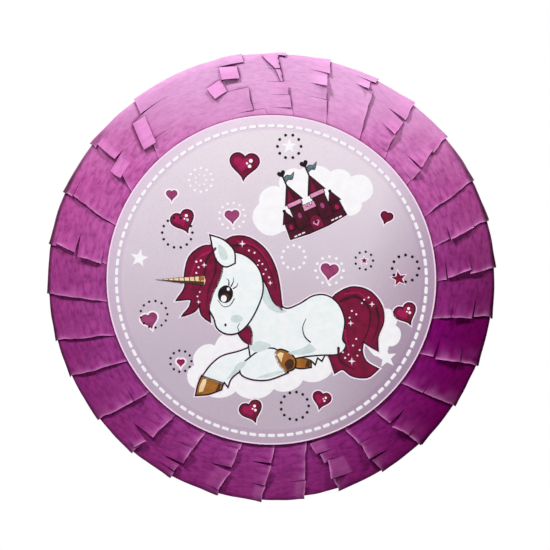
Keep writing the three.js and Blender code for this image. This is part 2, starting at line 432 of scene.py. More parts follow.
def crepe_material():
    """Crepe paper: light pink at the top and deep purple low down, finely ridged across the strip, with
    painted highlights at its free edges and on lifted tabs, and painted shade in its creases, under its free
    edges and over the rim.
    """
    shader = Shader("crepe_paper", roughness=0.9, specular=0.05)
    place = shader.object_place()
    strip = shader.map_place("strip")
    blotches = shader.noise(place, 100, detail=4, roughness=0.6)
    ridges = shader.noise(shader.scaled(strip, (1, 0.12, 1)), 1300, detail=2)
    creases = shader.noise(shader.scaled(strip, (1, 0.35, 1)), 330, detail=5, roughness=0.6)
    dye, lightness = crepe_dye(shader, place)
    lighter, darker = shader.tinted(dye, RIDGE_LIGHT), shader.tinted(dye, CREASE_SHADE)
    # Painted light on the bumped ridges and painted shade in the creases, strongest where the dye is deep
    tone = shader.blend(blotches, creases, 0.35)
    strength = shader.spread(lightness, 0.0, 0.6, 0.95, 0.22)
    dye = shader.mix(shader.times(shader.spread(tone, 0.50, 0.62), strength), dye, lighter)
    dye = shader.mix(shader.times(shader.spread(tone, 0.50, 0.38), strength), dye, darker)
    # Painted highlight along the free edges and on lifted tabs, and the paper's paler back on folded tabs
    highlighted = shader.mix(HIGHLIGHT_AND_BACK_SHARE, dye, HIGHLIGHT_AND_BACK)
    dye = shader.mix(shader.attribute("edge_highlight_and_back"), dye, highlighted)
    # Painted shade on the rim's rounding where it turns away from the light, only where the dye is deep
    on_rim = shader.times(over_rim(shader, place), shader.spread(lightness, 0.0, 0.5, 1.0, 0.0))
    dye = shader.mix(on_rim, dye, shader.tinted(dye, PAINTED_RIM_SHADE))
    # Painted shade where something close by hides the paper from the light, as under the free edges
    hidden = shader.hidden(HIDDEN_REACH, hidden_below=0.60, open_above=0.94)
    shader.colour(shader.mix(hidden, dye, shader.tinted(dye, PAINTED_CONTACT_SHADE)))
    shader.bump(blotches, 1.6 * MM, 0.35)
    shader.bump(creases, 0.7 * MM, 0.7)
    shader.bump(ridges, 0.25 * MM, 0.6)
    return shader.material


def over_rim(shader, place):
    """1 where the strips turn over the drum's front or back rim, falling to 0 on either side."""
    outwards = shader.spread(shader.radius(place), RADIUS - RIM_SHADE_REACH, RADIUS - 0.2 * RIM_SHADE_REACH)
    off_middle = shader.math("ABSOLUTE", shader.part(place, "Y"))
    off_side = shader.spread(off_middle, FACE_Y - RIM_RADIUS, FACE_Y - 0.4 * RIM_RADIUS)
    return shader.times(outwards, off_side)


def crepe_dye(shader, place):
    """The dye by height on the drum, with uneven bounds between its colours and painted shade deepening it
    towards the rim, and how light it is.
    """
    mottle = shader.noise(place, 38, detail=5, roughness=0.6)
    height = shader.plus(shader.part(place, "Z"), shader.spread(mottle, 0.3, 0.7, -DYE_MOTTLE, DYE_MOTTLE))
    height = shader.plus(height, shader.spread(shader.attribute("strip_tone"), 0, 1, -DYE_SHIFT, DYE_SHIFT))
    right = shader.minus(shader.part(place, "X"), CENTRE_X)
    slanted = shader.minus(height, shader.times(right, DYE_SLANT))
    bottom, top = CENTRE_Z - RADIUS, CENTRE_Z + RADIUS
    middle_share = shader.ramp(shader.spread(slanted, bottom, top), DYE_MIDDLE_SHARE)
    right_share = shader.spread(right, 0, DYE_RIGHT_AT)
    # Each colour at the rim is the dye darkened by painted shade, and at the picture the dye itself
    at_rim, at_picture = (
        shader.mix(middle_share, shader.mix(right_share, left, right_side), middle)
        for left, right_side, middle in zip(LEFT_DYE_AND_RIM_SHADE, RIGHT_DYE_AND_RIM_SHADE, MIDDLE_DYE_AND_RIM_SHADE)
    )
    outwards = shader.spread(shader.radius(place), RIM_DEEPENING_FROM, RIM_DEEPENING_TO)
    lightness = shader.ramp(shader.spread(height, bottom, top), DYE_TOP_SHARE)
    return shader.mix(lightness, shader.mix(outwards, at_picture, at_rim), DYE_TOP), lightness


def card_material(name, low, high):
    """Brown corrugated card: speckled liners with the flutes showing faintly, and open flutes in a cut edge,
    their hollows in painted shade.

    low and high are a flat board's two faces along Y, or None to leave the flutes out of its cut edges.
    """
    shader = Shader(name, roughness=0.92, specular=0.15)
    place = shader.object_place()
    fibres = shader.noise(shader.scaled(place, (1.0, 1.0, 0.25)), 900, detail=4)
    cloud = shader.noise(place, 24, detail=3)
    liner = shader.ramp(shader.blend(fibres, cloud, 0.6), CARD_TONES)
    if low is not None:
        # The cut's hollow flutes in painted shade
        liner = shader.mix(cut_flutes(shader, place, low, high), liner, FLUTE_HOLLOW_SHADE)
    shader.colour(liner)
    wave = shader.node("ShaderNodeTexWave", wave_type="BANDS", bands_direction="X")
    # The node's own bands are tau / 20 apart
    wave.inputs["Scale"].default_value = math.tau / (20 * FLUTE_PITCH)
    shader.link(place, wave.inputs["Vector"])
    shader.bump(wave.outputs["Fac"], 0.12 * MM, 0.5)
    shader.bump(fibres, 0.08 * MM, 0.5)
    return shader.material


def cut_flutes(shader, place, low, high):
    """1 in the gaps between the liners and the fluted paper, where a cut shows them: painted shade in the
    hollow flutes.

    Depths in the board run from -1 at one face to 1 at the other.
    """
    depth = shader.spread(shader.part(place, "Y"), low, high, -1.0, 1.0)
    turn = shader.times(shader.part(place, "X"), math.tau / FLUTE_PITCH)
    flute = shader.times(shader.math("SINE", turn), 0.7)
    off_flute = shader.math("ABSOLUTE", shader.minus(depth, flute))
    in_gap = shader.spread(off_flute, 0.16, 0.26)
    off_liner = shader.spread(shader.math("ABSOLUTE", depth), 0.80, 0.74)
    return shader.times(in_gap, off_liner)


def tape_material():
    """Gummed paper tape, smoother and lighter than the card."""
    shader = Shader("gummed_paper_tape", roughness=0.6, specular=0.3)
    place = shader.object_place()
    fibres = shader.noise(place, 700, detail=3)
    shader.colour(shader.ramp(fibres, [(0.3, srgb(184, 150, 108)), (0.7, srgb(206, 174, 132))]))
    shader.bump(fibres, 0.05 * MM, 0.4)
    return shader.material


def cover_material():
    """The back cover: uncoated off-white card, with faint smudges all over."""
    shader = Shader("back_cover_card", roughness=0.88, specular=0.2)
    place = shader.object_place()
    fibres = shader.noise(place, 1300, detail=3)
    smudges = shader.noise(place, 14, detail=4)
    tone = shader.blend(fibres, smudges, 0.45)
    shader.colour(shader.ramp(tone, [(0.34, srgb(222, 214, 204)), (0.62, srgb(238, 233, 226))]))
    shader.bump(fibres, 0.05 * MM, 0.5)
    shader.bump(smudges, 0.4 * MM, 0.2)
    return shader.material


def picture_material():
    """The printed card: pale lilac, deeper low down and right, with a dull margin and a light edge."""
    shader = Shader("picture_card", roughness=0.5, specular=0.35)
    place = shader.object_place()
    washes = shader.noise(place, 16, detail=5, roughness=0.6)
    grain = shader.noise(place, 1100, detail=3, roughness=0.7)
    right = shader.minus(shader.part(place, "X"), PICTURE_X)
    up = shader.minus(shader.part(place, "Z"), CARD_Z)
    reach = shader.radius(place)
    height = shader.spread(up, -PICTURE_RADIUS, PICTURE_RADIUS)
    base = shader.ramp(shader.plus(height, shader.spread(washes, 0.3, 0.7, -0.03, 0.03)), PRINT_GROUND)
    slanted = shader.minus(right, shader.times(up, PRINT_SHADE_SLANT))
    on_right = shader.spread(slanted, PRINT_SHADE_FROM, PRINT_SHADE_TO)
    in_margin = shader.spread(reach, MARGIN_FROM - PRINT_LINE, MARGIN_FROM + PRINT_LINE)
    in_speck = shader.spread(grain, 0.50, 0.72)
    for share, tint in ((on_right, PRINT_SHADE), (in_margin, PRINT_MARGIN), (in_speck, PRINT_SPECK)):
        base = shader.mix(share, base, shader.tinted(base, tint))
    edge_from = PICTURE_RADIUS - CARD_TRIM - EDGE_LINE
    at_edge = shader.spread(reach, edge_from, edge_from + PRINT_LINE)
    shader.colour(shader.mix(at_edge, base, PRINT_EDGE))
    shader.bump(grain, 0.03 * MM, 0.4)
    return shader.material


# Each ink's darker and lighter tone
INKS = {
    "white": ((255, 254, 255), (248, 248, 252)),
    "halo": ((255, 232, 248), (255, 242, 251)),
    "cloud": ((250, 249, 253), (255, 255, 255)),
    "coat": ((240, 250, 250), (252, 255, 254)),
    "coat_shade": ((206, 222, 222), (222, 234, 233)),
    "outline": ((12, 3, 9), (26, 7, 17)),
    "wine": ((106, 0, 44), (134, 0, 60)),
    "wine_dark": ((58, 0, 26), (78, 2, 34)),
    "crimson": ((150, 4, 72), (172, 18, 88)),
    "mauve": ((146, 50, 104), (166, 72, 122)),
    "pink": ((218, 132, 176), (232, 160, 196)),
    "stitch_shade": ((196, 188, 198), (206, 200, 208)),
    "gold": ((236, 206, 150), (250, 230, 190)),
    "bronze": ((150, 92, 30), (176, 112, 42)),
    "horn_dark": ((62, 34, 22), (84, 50, 30)),
    "teal": ((70, 92, 98), (120, 142, 146)),
}


def ink_material(name):
    """One printed ink: two close tones mottled together, and the dot grain of the print."""
    shader = Shader("ink_" + name, roughness=0.5, specular=0.3)
    place = shader.object_place()
    mottle = shader.noise(place, 140, detail=4)
    darker, lighter = INKS[name]
    shader.colour(shader.ramp(mottle, [(0.36, srgb(*darker)), (0.64, srgb(*lighter))]))
    shader.bump(shader.noise(place, 1600, detail=2), 0.02 * MM, 0.4)
    return shader.material


# ---------------------------------------------------------------- crepe strips

def cad_span(node):
    """Where a CAD strip lies, as its two edges' angles in degrees."""
    angles = [
        math.atan2(v.co.x - CENTRE_X, v.co.z - CENTRE_Z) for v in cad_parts[node].data.vertices
    ]
    middle = math.atan2(sum(map(math.sin, angles)), sum(map(math.cos, angles)))
    turns = [math.remainder(a - middle, math.tau) for a in angles]
    return math.degrees(middle + min(turns)), math.degrees(middle + max(turns))


class StripSurface:
    """The drum's surface under one straight strip, laid outwards over the front and folded round the rim.

    u runs along the strip: 0 where the front meets the rim's rounding, below 0 on the front.
    q runs across it, from the strip's middle line towards its free edge. h is the height above the tape.
    """

    rounding = math.pi / 2 * RIM_RADIUS
    rim_centre = RADIUS - RIM_RADIUS
    face = -TAPE_LOW.y
    side_length = 2 * (-CREPE_LOW.y - RIM_RADIUS)

    def __init__(self, angle, side):
        a = math.radians(angle)
        self.angle, self.side = a, side
        self.outward = np.array([math.sin(a), 0, math.cos(a)])
        self.towards_edge = side * np.array([math.cos(a), 0, -math.sin(a)])
        self.centre = np.array([CENTRE_X, 0, CENTRE_Z])

    def bearing(self, u, q):
        """A place's angle round the drum."""
        along = math.sqrt(self.rim_centre ** 2 - q * q)
        u = min(u, 2 * self.rounding + self.side_length - u, 0)
        return self.angle + self.side * math.atan2(q, along + u)

    def point(self, u, q, h):
        """The place in the row frame."""
        along = math.sqrt(self.rim_centre ** 2 - q * q)
        at_rim = along * self.outward + q * self.towards_edge
        rim_direction = at_rim / self.rim_centre
        front_y = -self.side_length / 2
        inset = self.face + front_y  # from the rounding's centre to the tape's face
        length = 2 * self.rounding + self.side_length
        end = 1 if u > length / 2 else -1
        if end > 0:
            u = length - u
        if u <= 0:
            flat = at_rim + u * self.outward
            return self.centre + flat + np.array([0, end * (self.face + h), 0])
        if u < self.rounding:
            turn = u / self.rounding * math.pi / 2
            reach = inset + h
            out = (self.rim_centre + reach * math.sin(turn)) * rim_direction
            return self.centre + out + np.array([0, end * (-front_y + reach * math.cos(turn)), 0])
        out = (self.rim_centre + inset + h) * rim_direction
        return self.centre + out + np.array([0, end * (self.rounding + self.side_length / 2 - u), 0])


class Tab:
    """How one cut tab of a strip's fringe lies. It's uneven by chance until shape says otherwise."""

    def __init__(self, dice, ragged, depth):
        self.depth = depth
        self.stretch = dice.uniform(*TAB_STRETCH) * ragged
        self.skew = dice.uniform(*TAB_SKEW) * MM * ragged
        self.lift = dice.uniform(*TAB_LIFT) * MM * ragged
        self.twist = dice.uniform(*TAB_TWIST) * MM * ragged
        self.turn = self.slant = 0.0
        self.bend_from, self.bend_over, self.bend = 0.5, 1.0, 0.0
        self.pale = 0.0

    def shape(self, bend_from=0.2, bend_over=0.6, bend=0.0, stretch=0.0, turn=0.0,
              skew=0.0, twist=0.0, slant=0.0, pale=0.0):
        """Bend and turn in degrees, skew and twist in millimetres, and the rest as shares of the tab."""
        self.bend_from, self.bend_over, self.bend = bend_from, bend_over, math.radians(bend)
        self.stretch, self.turn, self.slant, self.pale = stretch, math.radians(turn), slant, pale
        self.skew, self.twist, self.lift = skew * MM, twist * MM, RAISED_TAB_LIFT

    def run(self, distance):
        """Where a point this far from the slits' root lies: (along the tab, above its strip)."""
        if self.bend == 0.0:
            return distance * (1 + self.stretch), 0.0
        steps = 40
        step = distance * (1 + self.stretch) / steps
        out = up = 0.0
        for i in range(steps):
            share = (i + 0.5) / steps * distance / self.depth
            angle = self.bend * smoothstep(self.bend_from, self.bend_from + self.bend_over, share)
            out += step * math.cos(angle)
            up += step * math.sin(angle)
        return out, up


# Slits on the front, in millimetres in from the rim, for the strips whose free edges are cut there.
# Strips that aren't listed keep an uncut, slightly wavy edge on the front.
FRONT_SLITS = {
    "crown first": (2, 14.5, 27, 47),
    "crown second": (9, 35),
    "right_02 first": (-2, 9, 21, 32, 44),
    "right_03 first": (8, 18, 30),
    "right_04 first": (1, 7),
    "right_05 first": (13, 25, 44),
    "right_06 first": (14, 32, 46),
    "right_07 first": (30,),
    "right_08 first": (10, 34),
    "right_09 first": (4, 18, 40),
    "right_10 first": (12, 30),
    "right_11 first": (14, 36),
    "right_12 first": (26,),
    "right_13 first": (12, 28, 44),
    "right_14 first": (10, 26, 44),
    "right_15 first": (8, 24, 34, 46),
    "left_02 first": (1, 21, 33),
    "left_03 first": (6,),
    "left_04 first": (3, 21, 45),
    "left_08 first": (34, 46),
    "left_09 first": (4, 17, 42),
    "left_10 first": (2, 9, 27, 44),
    "left_11 first": (3, 22, 40),
    "left_12 first": (11, 30, 45),
    "left_13 first": (12,),
}

# Tabs that don't lie flat: the strip, which free edge, and a place on the tab in millimetres in from the
# rim. A tab's pale share lightens its colour: the paper's paler back where it folds over, painted light
# where it only lifts.
RAISED_TABS = [
    ("crown first", 8, dict(bend_from=0.50, bend_over=0.08, bend=178, stretch=0.31, turn=-8, pale=1.0)),
    ("crown first", 20, dict(bend_from=0.08, bend_over=0.12, bend=178, stretch=-0.38, turn=17, pale=1.0)),
    ("crown first", 37, dict(bend=5, stretch=-0.30, slant=0.08, twist=-0.6, pale=0.1)),
    ("crown second", 24, dict(bend_from=0.69, bend_over=0.06, bend=178, stretch=0.97, skew=-4, pale=1.0)),
    ("right_02 first", 5, dict(bend_from=0.52, bend_over=0.12, bend=178, stretch=0.3, slant=0.2, pale=0.5)),
    ("right_02 first", 15, dict(
        bend_from=0.76, bend_over=0.06, bend=178, stretch=-0.05, slant=0.1, pale=0.5)),
    ("right_02 first", 26, dict(bend=7, stretch=-0.05, twist=1.0, pale=0.5)),
    ("right_02 first", 38, dict(bend=5, stretch=-0.02, twist=-0.8, pale=0.2)),
    ("right_03 first", 4, dict(bend=4, stretch=0.02, twist=0.6, pale=0.3)),
    ("right_03 first", 13, dict(bend=8, stretch=-0.08, twist=-4.5, pale=0.4)),
    ("right_03 first", 24, dict(bend=6, stretch=-0.04, twist=1)),
    ("right_04 first", 4, dict(bend_from=0.3, bend_over=0.6, bend=14, stretch=-0.25, twist=-4, pale=0.6)),
    ("right_05 first", 8, dict(bend=8, stretch=0.02, twist=0.5, pale=0.3)),
    ("right_05 first", 19, dict(bend=8, stretch=-0.06, twist=-3.5, turn=-8, pale=0.15)),
    ("right_05 first", 35, dict(bend=8, stretch=-0.05, twist=1)),
    ("right_06 first", 22, dict(bend=8, stretch=-0.04, twist=-1.5, turn=6, pale=0.1)),
    ("right_06 first", 39, dict(bend=10, stretch=0.05, twist=1.5, pale=0.3)),
    ("right_08 first", 22, dict(bend=10, stretch=0.06, twist=-1.5)),
    ("right_09 first", 11, dict(bend=10, stretch=0.05)),
    ("right_09 first", 30, dict(bend=16, stretch=-0.08, twist=1, turn=5)),
    ("right_10 first", 20, dict(bend=18, stretch=0.04, twist=-1.2, turn=-5)),
    ("right_11 first", 25, dict(bend=14, stretch=0.05, twist=1.4, turn=6)),
    ("right_13 first", 20, dict(bend=20, stretch=0.08, twist=-1.6, turn=8)),
    ("right_14 first", 18, dict(bend=24, stretch=0.06, twist=1.6, turn=-8)),
    ("right_15 first", 16, dict(
        bend_from=0.0, bend_over=0.9, bend=34, skew=-2, twist=2.4, slant=0.2, pale=0.16)),
    ("right_15 first", 40, dict(bend_from=0.4, bend=18, stretch=0.14, skew=-1, twist=-1, pale=0.2)),
    ("left_02 first", 11, dict(bend_from=0.5, bend_over=0.4, bend=34, stretch=-0.22, slant=0.12, pale=0.5)),
    ("left_02 first", 27, dict(bend=7, stretch=0.16, turn=-8, twist=-0.8, pale=0.55)),
    ("left_02 first", 40, dict(bend=3, stretch=0.1, slant=-0.15)),
    ("left_04 first", 12, dict(bend=12, stretch=-0.06, turn=5, twist=1.5)),
    ("left_04 first", 33, dict(bend=12, stretch=0.08, turn=-3, twist=-0.8)),
    ("left_08 first", 40, dict(bend=16, stretch=0.04, twist=1)),
    ("left_09 first", 11, dict(bend=14, stretch=0.04, turn=12, twist=-1.2)),
    ("left_09 first", 30, dict(bend=18, stretch=0.08, turn=-6, twist=1.4)),
    ("left_10 first", 5, dict(bend_from=0.1, bend_over=0.8, bend=18, twist=1.6)),
    ("left_10 first", 18, dict(bend=22, stretch=0.06, turn=-8, twist=-1.6)),
    ("left_11 first", 12, dict(bend=16, stretch=0.04, turn=7, twist=1.4, pale=0.1)),
    ("left_11 first", 30, dict(bend=12, stretch=-0.03, turn=-5, twist=-1.2)),
    ("left_12 first", 5, dict(bend_from=0.5, bend=14, stretch=0.03, twist=1.6, pale=0.2)),
    ("left_12 first", 20, dict(bend=18, stretch=0.04, turn=6, twist=-1.4)),
    ("left_13 first", 6, dict(bend_from=0.5, bend=14, stretch=0.03, twist=-1.6, pale=0.2)),
]


class Strip:
    """One crepe strip as a grid of rows along it and columns across it, its free edges cut into tabs."""

    # Shares of the slits' depth, in from the free edge
    fringe_columns = (0.0, 0.03, 0.08, 0.15, 0.23, 0.32, 0.42, 0.52, 0.63, 0.75, 0.87, 1.0)
    slit_depths = (0.42, 0.52, 0.63, 0.75, 0.87, 1.0)

    def __init__(self, node, angle, side, half_width, free_edges, share, tone, depth):
        """share is how far up the stack the strip lies, or None where that grows towards its free edge."""
        self.node, self.tone, self.share = node, tone, share
        self.half_width, self.free_edges, self.depth = half_width, free_edges, depth
        self.surface = StripSurface(angle, side)
        self.dice = random.Random(f"{SEED} {node}")
        inner_end = -(RADIUS - RIM_RADIUS - CREPE_INNER_RADIUS)
        self.length = 2 * StripSurface.rounding + StripSurface.side_length
        outer_end = self.length - inner_end
        count = round((outer_end - inner_end) / ROW_STEP)
        self.rows = [inner_end + (outer_end - inner_end) * i / count for i in range(count + 1)]
        self.columns = self.column_places()
        self.slits = {edge: self.slit_rows(edge) for edge in free_edges}
        self.tabs = {edge: self.loose_tabs(edge) for edge in free_edges}
        self.raise_tabs()

    def edge_name(self, edge):
        return f"{self.node.removeprefix('crepe_')} {edge}"

    def column_places(self):
        """q of each column, from the free edge (or the first free edge) to the other edge."""
        fringe = [self.half_width - c * self.depth for c in self.fringe_columns]
        root = fringe[-1]
        far = -root if len(self.free_edges) == 2 else -self.half_width
        steps = max(2, round((root - far) / COLUMN_STEP))
        middle = [root + (far - root) * i / steps for i in range(1, steps + 1)]
        if len(self.free_edges) == 2:
            middle += [-q for q in reversed(fringe[:-1])]
        return fringe + middle

    def slit_rows(self, edge):
        """Each slit's row, with its depth. The front's are given, and the rest come at random."""
        slits = {}
        for inwards in FRONT_SLITS.get(self.edge_name(edge), ()):
            row = min(range(len(self.rows)), key=lambda r: abs(self.rows[r] + inwards * MM))
            slits[row] = 1.0
        row = next(r for r, u in enumerate(self.rows) if u > StripSurface.rounding)
        while row < len(self.rows) - 3:
            slits[row] = self.dice.choice(self.slit_depths)
            row += self.dice.choice(ROWS_PER_TAB)
        return sorted(slits.items())

    def tab_ends(self, edge, index):
        """Where a tab starts and ends along the strip."""
        cuts = [0] + [row for row, _ in self.slits[edge]] + [len(self.rows) - 1]
        return self.rows[cuts[index]], self.rows[cuts[index + 1]]

    def loose_tabs(self, edge):
        """A free edge's tabs, each lying a little unevenly where nothing holds the strip down."""
        tabs = []
        for index in range(len(self.slits[edge]) + 1):
            first, last = self.tab_ends(edge, index)
            on_side = (first + last) / 2 > 0
            ragged = self.calm((first + last) / 2) * (1.0 if on_side else FRONT_RAGGED)
            tabs.append(Tab(self.dice, ragged, self.depth))
        return tabs

    def from_rim(self, u):
        """How far in from the nearer rim."""
        return -min(u, self.length - u)

    def calm(self, u):
        """0 where the picture or the back cover holds the strip down, rising to 1 outside it."""
        return 1 - smoothstep(PICTURE_EDGE_IN - HELD_REACH, PICTURE_EDGE_IN, self.from_rim(u))

    def raise_tabs(self):
        """Shapes the tabs that are listed as not lying flat."""
        for edge, tabs in self.tabs.items():
            for index, tab in enumerate(tabs):
                first, last = self.tab_ends(edge, index)
                for name, inwards, shape in RAISED_TABS:
                    if name == self.edge_name(edge) and first <= -inwards * MM < last:
                        tab.shape(**shape)

    def height(self, u, q):
        """The strip's height above the tape, before its tabs lift."""
        inwards = smoothstep(0, PICTURE_EDGE_IN, self.from_rim(u))
        stack = STACK_AT_RIM + (STACK_AT_PICTURE - STACK_AT_RIM) * inwards
        share = (q + self.half_width) / (2 * self.half_width) if self.share is None else self.share
        return FIRST_LAYER + stack * share + self.wrinkle(u, q)

    def wrinkle(self, u, q):
        """Shallow folds that all the strips share where they lie on each other, and a little of its own."""
        bearing = self.surface.bearing(u, q)
        spread = RADIUS * FOLDS_PER_METRE
        x, z = math.sin(bearing) * spread, math.cos(bearing) * spread
        up = FOLD_HEIGHT * roughness_at(x, z, u * FOLDS_ALONG)
        for height, along, across, pattern in WRINKLES:
            up += height * roughness_at(u * along, q * across, self.tone * pattern)
        up *= HELD_WRINKLES + (1 - HELD_WRINKLES) * self.calm(u)
        return max(up, -FIRST_LAYER / 2)  # the card under the paper stops it

    def edge_wave(self, u, offset):
        """Noise along a free edge. Each offset gives a pattern of its own."""
        return roughness_at(u * EDGE_WAVES, offset, self.tone * 31)

    def edge_of(self, column):
        """Which free edge's fringe a column belongs to, and how far it is from the slits' root."""
        q = self.columns[column]
        root = self.half_width - self.depth
        if "first" in self.free_edges and q > root + TINY:
            return "first", q - root
        if "second" in self.free_edges and q < -root - TINY:
            return "second", -q - root
        return None, 0.0

    def tab_point(self, u, q, edge, index, slit_side):
        """A fringe point's place on one tab. slit_side is -1 or 1 at the tab's own cut sides."""
        tab = self.tabs[edge][index]
        root = self.half_width - self.depth
        distance = abs(q) - root
        share = distance / self.depth
        first, last = self.tab_ends(edge, index)
        along = u - (first + last) / 2
        beside = along / (last - first) * 2
        calm = self.calm(u)
        slanted = distance * (1 + tab.slant * beside)
        flat = slanted * (1 + tab.stretch)
        out, up = tab.run(slanted)
        out = flat + (out - flat) * calm
        turn = tab.turn * smoothstep(0, 0.3, share) * calm
        shift = along * (math.cos(turn) - 1) + out * math.sin(turn)
        out = out * math.cos(turn) - along * math.sin(turn)
        torn = EDGE_WAVE * self.edge_wave(u, 3.7) + EDGE_TEAR * self.edge_wave(u * EDGE_TEARS, 6.2)
        out += torn * share * share * calm
        shift += tab.skew * calm * share * share - slit_side * SLIT_GAP / 2 * min(1.0, 2 * share)
        edge_lift = EDGE_LIFT * (1 + LIFT_VARIES * self.edge_wave(u, 8.1))
        edge_lift *= HELD_LIFT + (1 - HELD_LIFT) * calm
        lift = (edge_lift + tab.lift + tab.twist * beside) * share * share
        hold = 1 - RIM_HOLD * smoothstep(-RIM_HOLD_REACH, 0, -self.from_rim(u))
        reach = root + out
        base = self.height(u, math.copysign(min(reach, self.half_width), q))
        height = base + (up * calm + max(lift, 0)) * hold
        return self.surface.point(u + shift, math.copysign(reach, q), height)

    def in_open_slit(self, row, column):
        """Whether a slit is open at a grid point, which then has one point for each of the slit's sides."""
        edge, distance = self.edge_of(column)
        depth = dict(self.slits.get(edge, ())).get(row)
        return depth is not None and distance > self.depth * (1 - depth) + TINY

    def corner(self, row, column, upward):
        """A grid point's place and how pale it is, for a face above (upward) or below its row."""
        edge, distance = self.edge_of(column)
        u, q = self.rows[row], self.columns[column]
        if edge is None:
            return self.surface.point(u, q, self.height(u, q)), 0.0
        slit_rows = [r for r, _ in self.slits[edge]]
        index = sum(1 for r in slit_rows if r < row or (r == row and upward))
        pale = self.paleness(edge, index, distance, u)
        if row not in slit_rows:
            return self.tab_point(u, q, edge, index, 0), pale
        if self.in_open_slit(row, column):
            return self.tab_point(u, q, edge, index, -1 if upward else 1), pale
        other = index - 1 if upward else index + 1
        joined = (self.tab_point(u, q, edge, index, 0) + self.tab_point(u, q, edge, other, 0)) / 2
        return joined, pale

    def build(self, material):
        """Makes the strip's mesh in place of its CAD piece."""
        vertices, maps, lightening, ids = [], [], [], {}

        def vertex(row, column, upward):
            key = row, column, upward and self.in_open_slit(row, column)
            if key not in ids:
                place, pale = self.corner(row, column, upward)
                ids[key] = len(vertices)
                vertices.append(tuple(place))
                maps.append((self.rows[row], self.columns[column]))
                lightening.append(pale)
            return ids[key]

        faces = []
        for row in range(len(self.rows) - 1):
            for column in range(len(self.columns) - 1):
                faces.append((
                    vertex(row, column, True),
                    vertex(row + 1, column, False),
                    vertex(row + 1, column + 1, False),
                    vertex(row, column + 1, True),
                ))
        strip = add_object(self.node + "_paper", vertices, faces, [material])
        self.add_maps(strip.data, maps, lightening)
        thicken(strip, PAPER)
        cut_cord_holes(strip)
        smooth(strip.data, 50)
        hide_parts(self.node)

    def paleness(self, edge, index, distance, u):
        """How much lighter the paper is painted: a painted highlight along its free edge with a painted
        lighter zone behind it, and paler on tabs: the paper's paler back where a tab folds over, painted
        light where it only lifts.
        """
        tab = self.tabs[edge][index]
        inwards = self.depth - distance
        lightening = HIGHLIGHT + HIGHLIGHT_VARIES * roughness_at(u * HIGHLIGHT_GRAIN, 5.5, self.tone * 43)
        along, across = LIT_ZONE_GRAIN
        lit_zone = LIT_ZONE + LIT_ZONE_VARIES * roughness_at(u * along, inwards * across, self.tone * 19)
        highlighted = max(0.0, lightening) * math.exp(-inwards / EDGE_HIGHLIGHT)
        highlighted += max(0.0, lit_zone) * math.exp(-inwards / LIT_ZONE_REACH)
        # A tab's pale share: the paper's paler back where it folds over, and painted light where it only
        # lifts
        turned_over = tab.pale * smoothstep(tab.bend_from, tab.bend_from + 0.15, distance / self.depth)
        return min(1.0, max(highlighted, turned_over))

    def add_maps(self, mesh, maps, lightening):
        """Gives the mesh what its material reads: places on the strip, the painted highlights and paler tab
        backs, and the strip's own tone.
        """
        layer = mesh.uv_layers.new(name="strip")
        for loop in mesh.loops:
            layer.data[loop.index].uv = maps[loop.vertex_index]
        mesh.attributes.new("edge_highlight_and_back", "FLOAT", "POINT").data.foreach_set("value", lightening)
        tones = [self.tone] * len(lightening)
        mesh.attributes.new("strip_tone", "FLOAT", "POINT").data.foreach_set("value", tones)


def cut_cord_holes(strip):
    """Cuts the two cord holes through a strip where it lies over the top of the drum."""
    for side in (-1, 1):
        hole = Vector((CENTRE_X, side * CORD_HOLE_OFF_MIDDLE, CAD_HIGH.z))
        if not any((v.co - hole).length < 3 * CORD_HOLE_RADIUS for v in strip.data.vertices):
            continue
        peg = cord_peg(hole)
        cut = strip.modifiers.new("cord_hole", "BOOLEAN")
        cut.operation = "DIFFERENCE"
        cut.solver = "EXACT"
        cut.object = peg
        apply_modifiers(strip)
        bpy.data.objects.remove(peg)


def cord_peg(hole):
    """A round peg the size of a cord hole, for cutting with."""
    angles = [math.tau * i / CORD_HOLE_SIDES for i in range(CORD_HOLE_SIDES)]
    ring = [(math.cos(a), math.sin(a)) for a in angles]
    vertices = [
        (hole.x + x * CORD_HOLE_RADIUS, hole.y + y * CORD_HOLE_RADIUS, hole.z + end * CORD_PEG_REACH)
        for end in (-1, 1) for x, y in ring
    ]
    count = CORD_HOLE_SIDES
    faces = [(i, (i + 1) % count, count + (i + 1) % count, count + i) for i in range(count)]
    faces += [tuple(reversed(range(count))), tuple(range(count, 2 * count))]
    return new_object("cord_peg", new_mesh("cord_peg", vertices, faces))


def build_strips(material):
    """Lays a paper strip over each of the CAD strips, with its free edge where the CAD strip's is."""
    lean = math.degrees(math.asin(STRIP_HALF_WIDTH / EDGE_RADIUS))
    for node in sorted(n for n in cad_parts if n.startswith("crepe_")):
        low, high = cad_span(node)
        tone = random.Random(f"{SEED} tone {node}").random()
        angle, side, half_width, depth = (low + high) / 2, 1, STRIP_HALF_WIDTH, SLIT_DEPTH
        edges, share = ("first",), None
        if "crown" in node:
            half_width = EDGE_RADIUS * math.sin(math.radians(high - low) / 2) + CROWN_EXTRA_WIDTH
            edges, share, depth = ("first", "second"), 1.0, CROWN_SLIT_DEPTH
        elif "bottom" in node:
            edges, share = (), 0.0
        elif "right" in node:
            angle = high - lean
        else:
            angle, side = low + lean, -1
        Strip(node, angle, side, half_width, edges, share, tone, depth).build(material)


# ---------------------------------------------------------------- printed picture

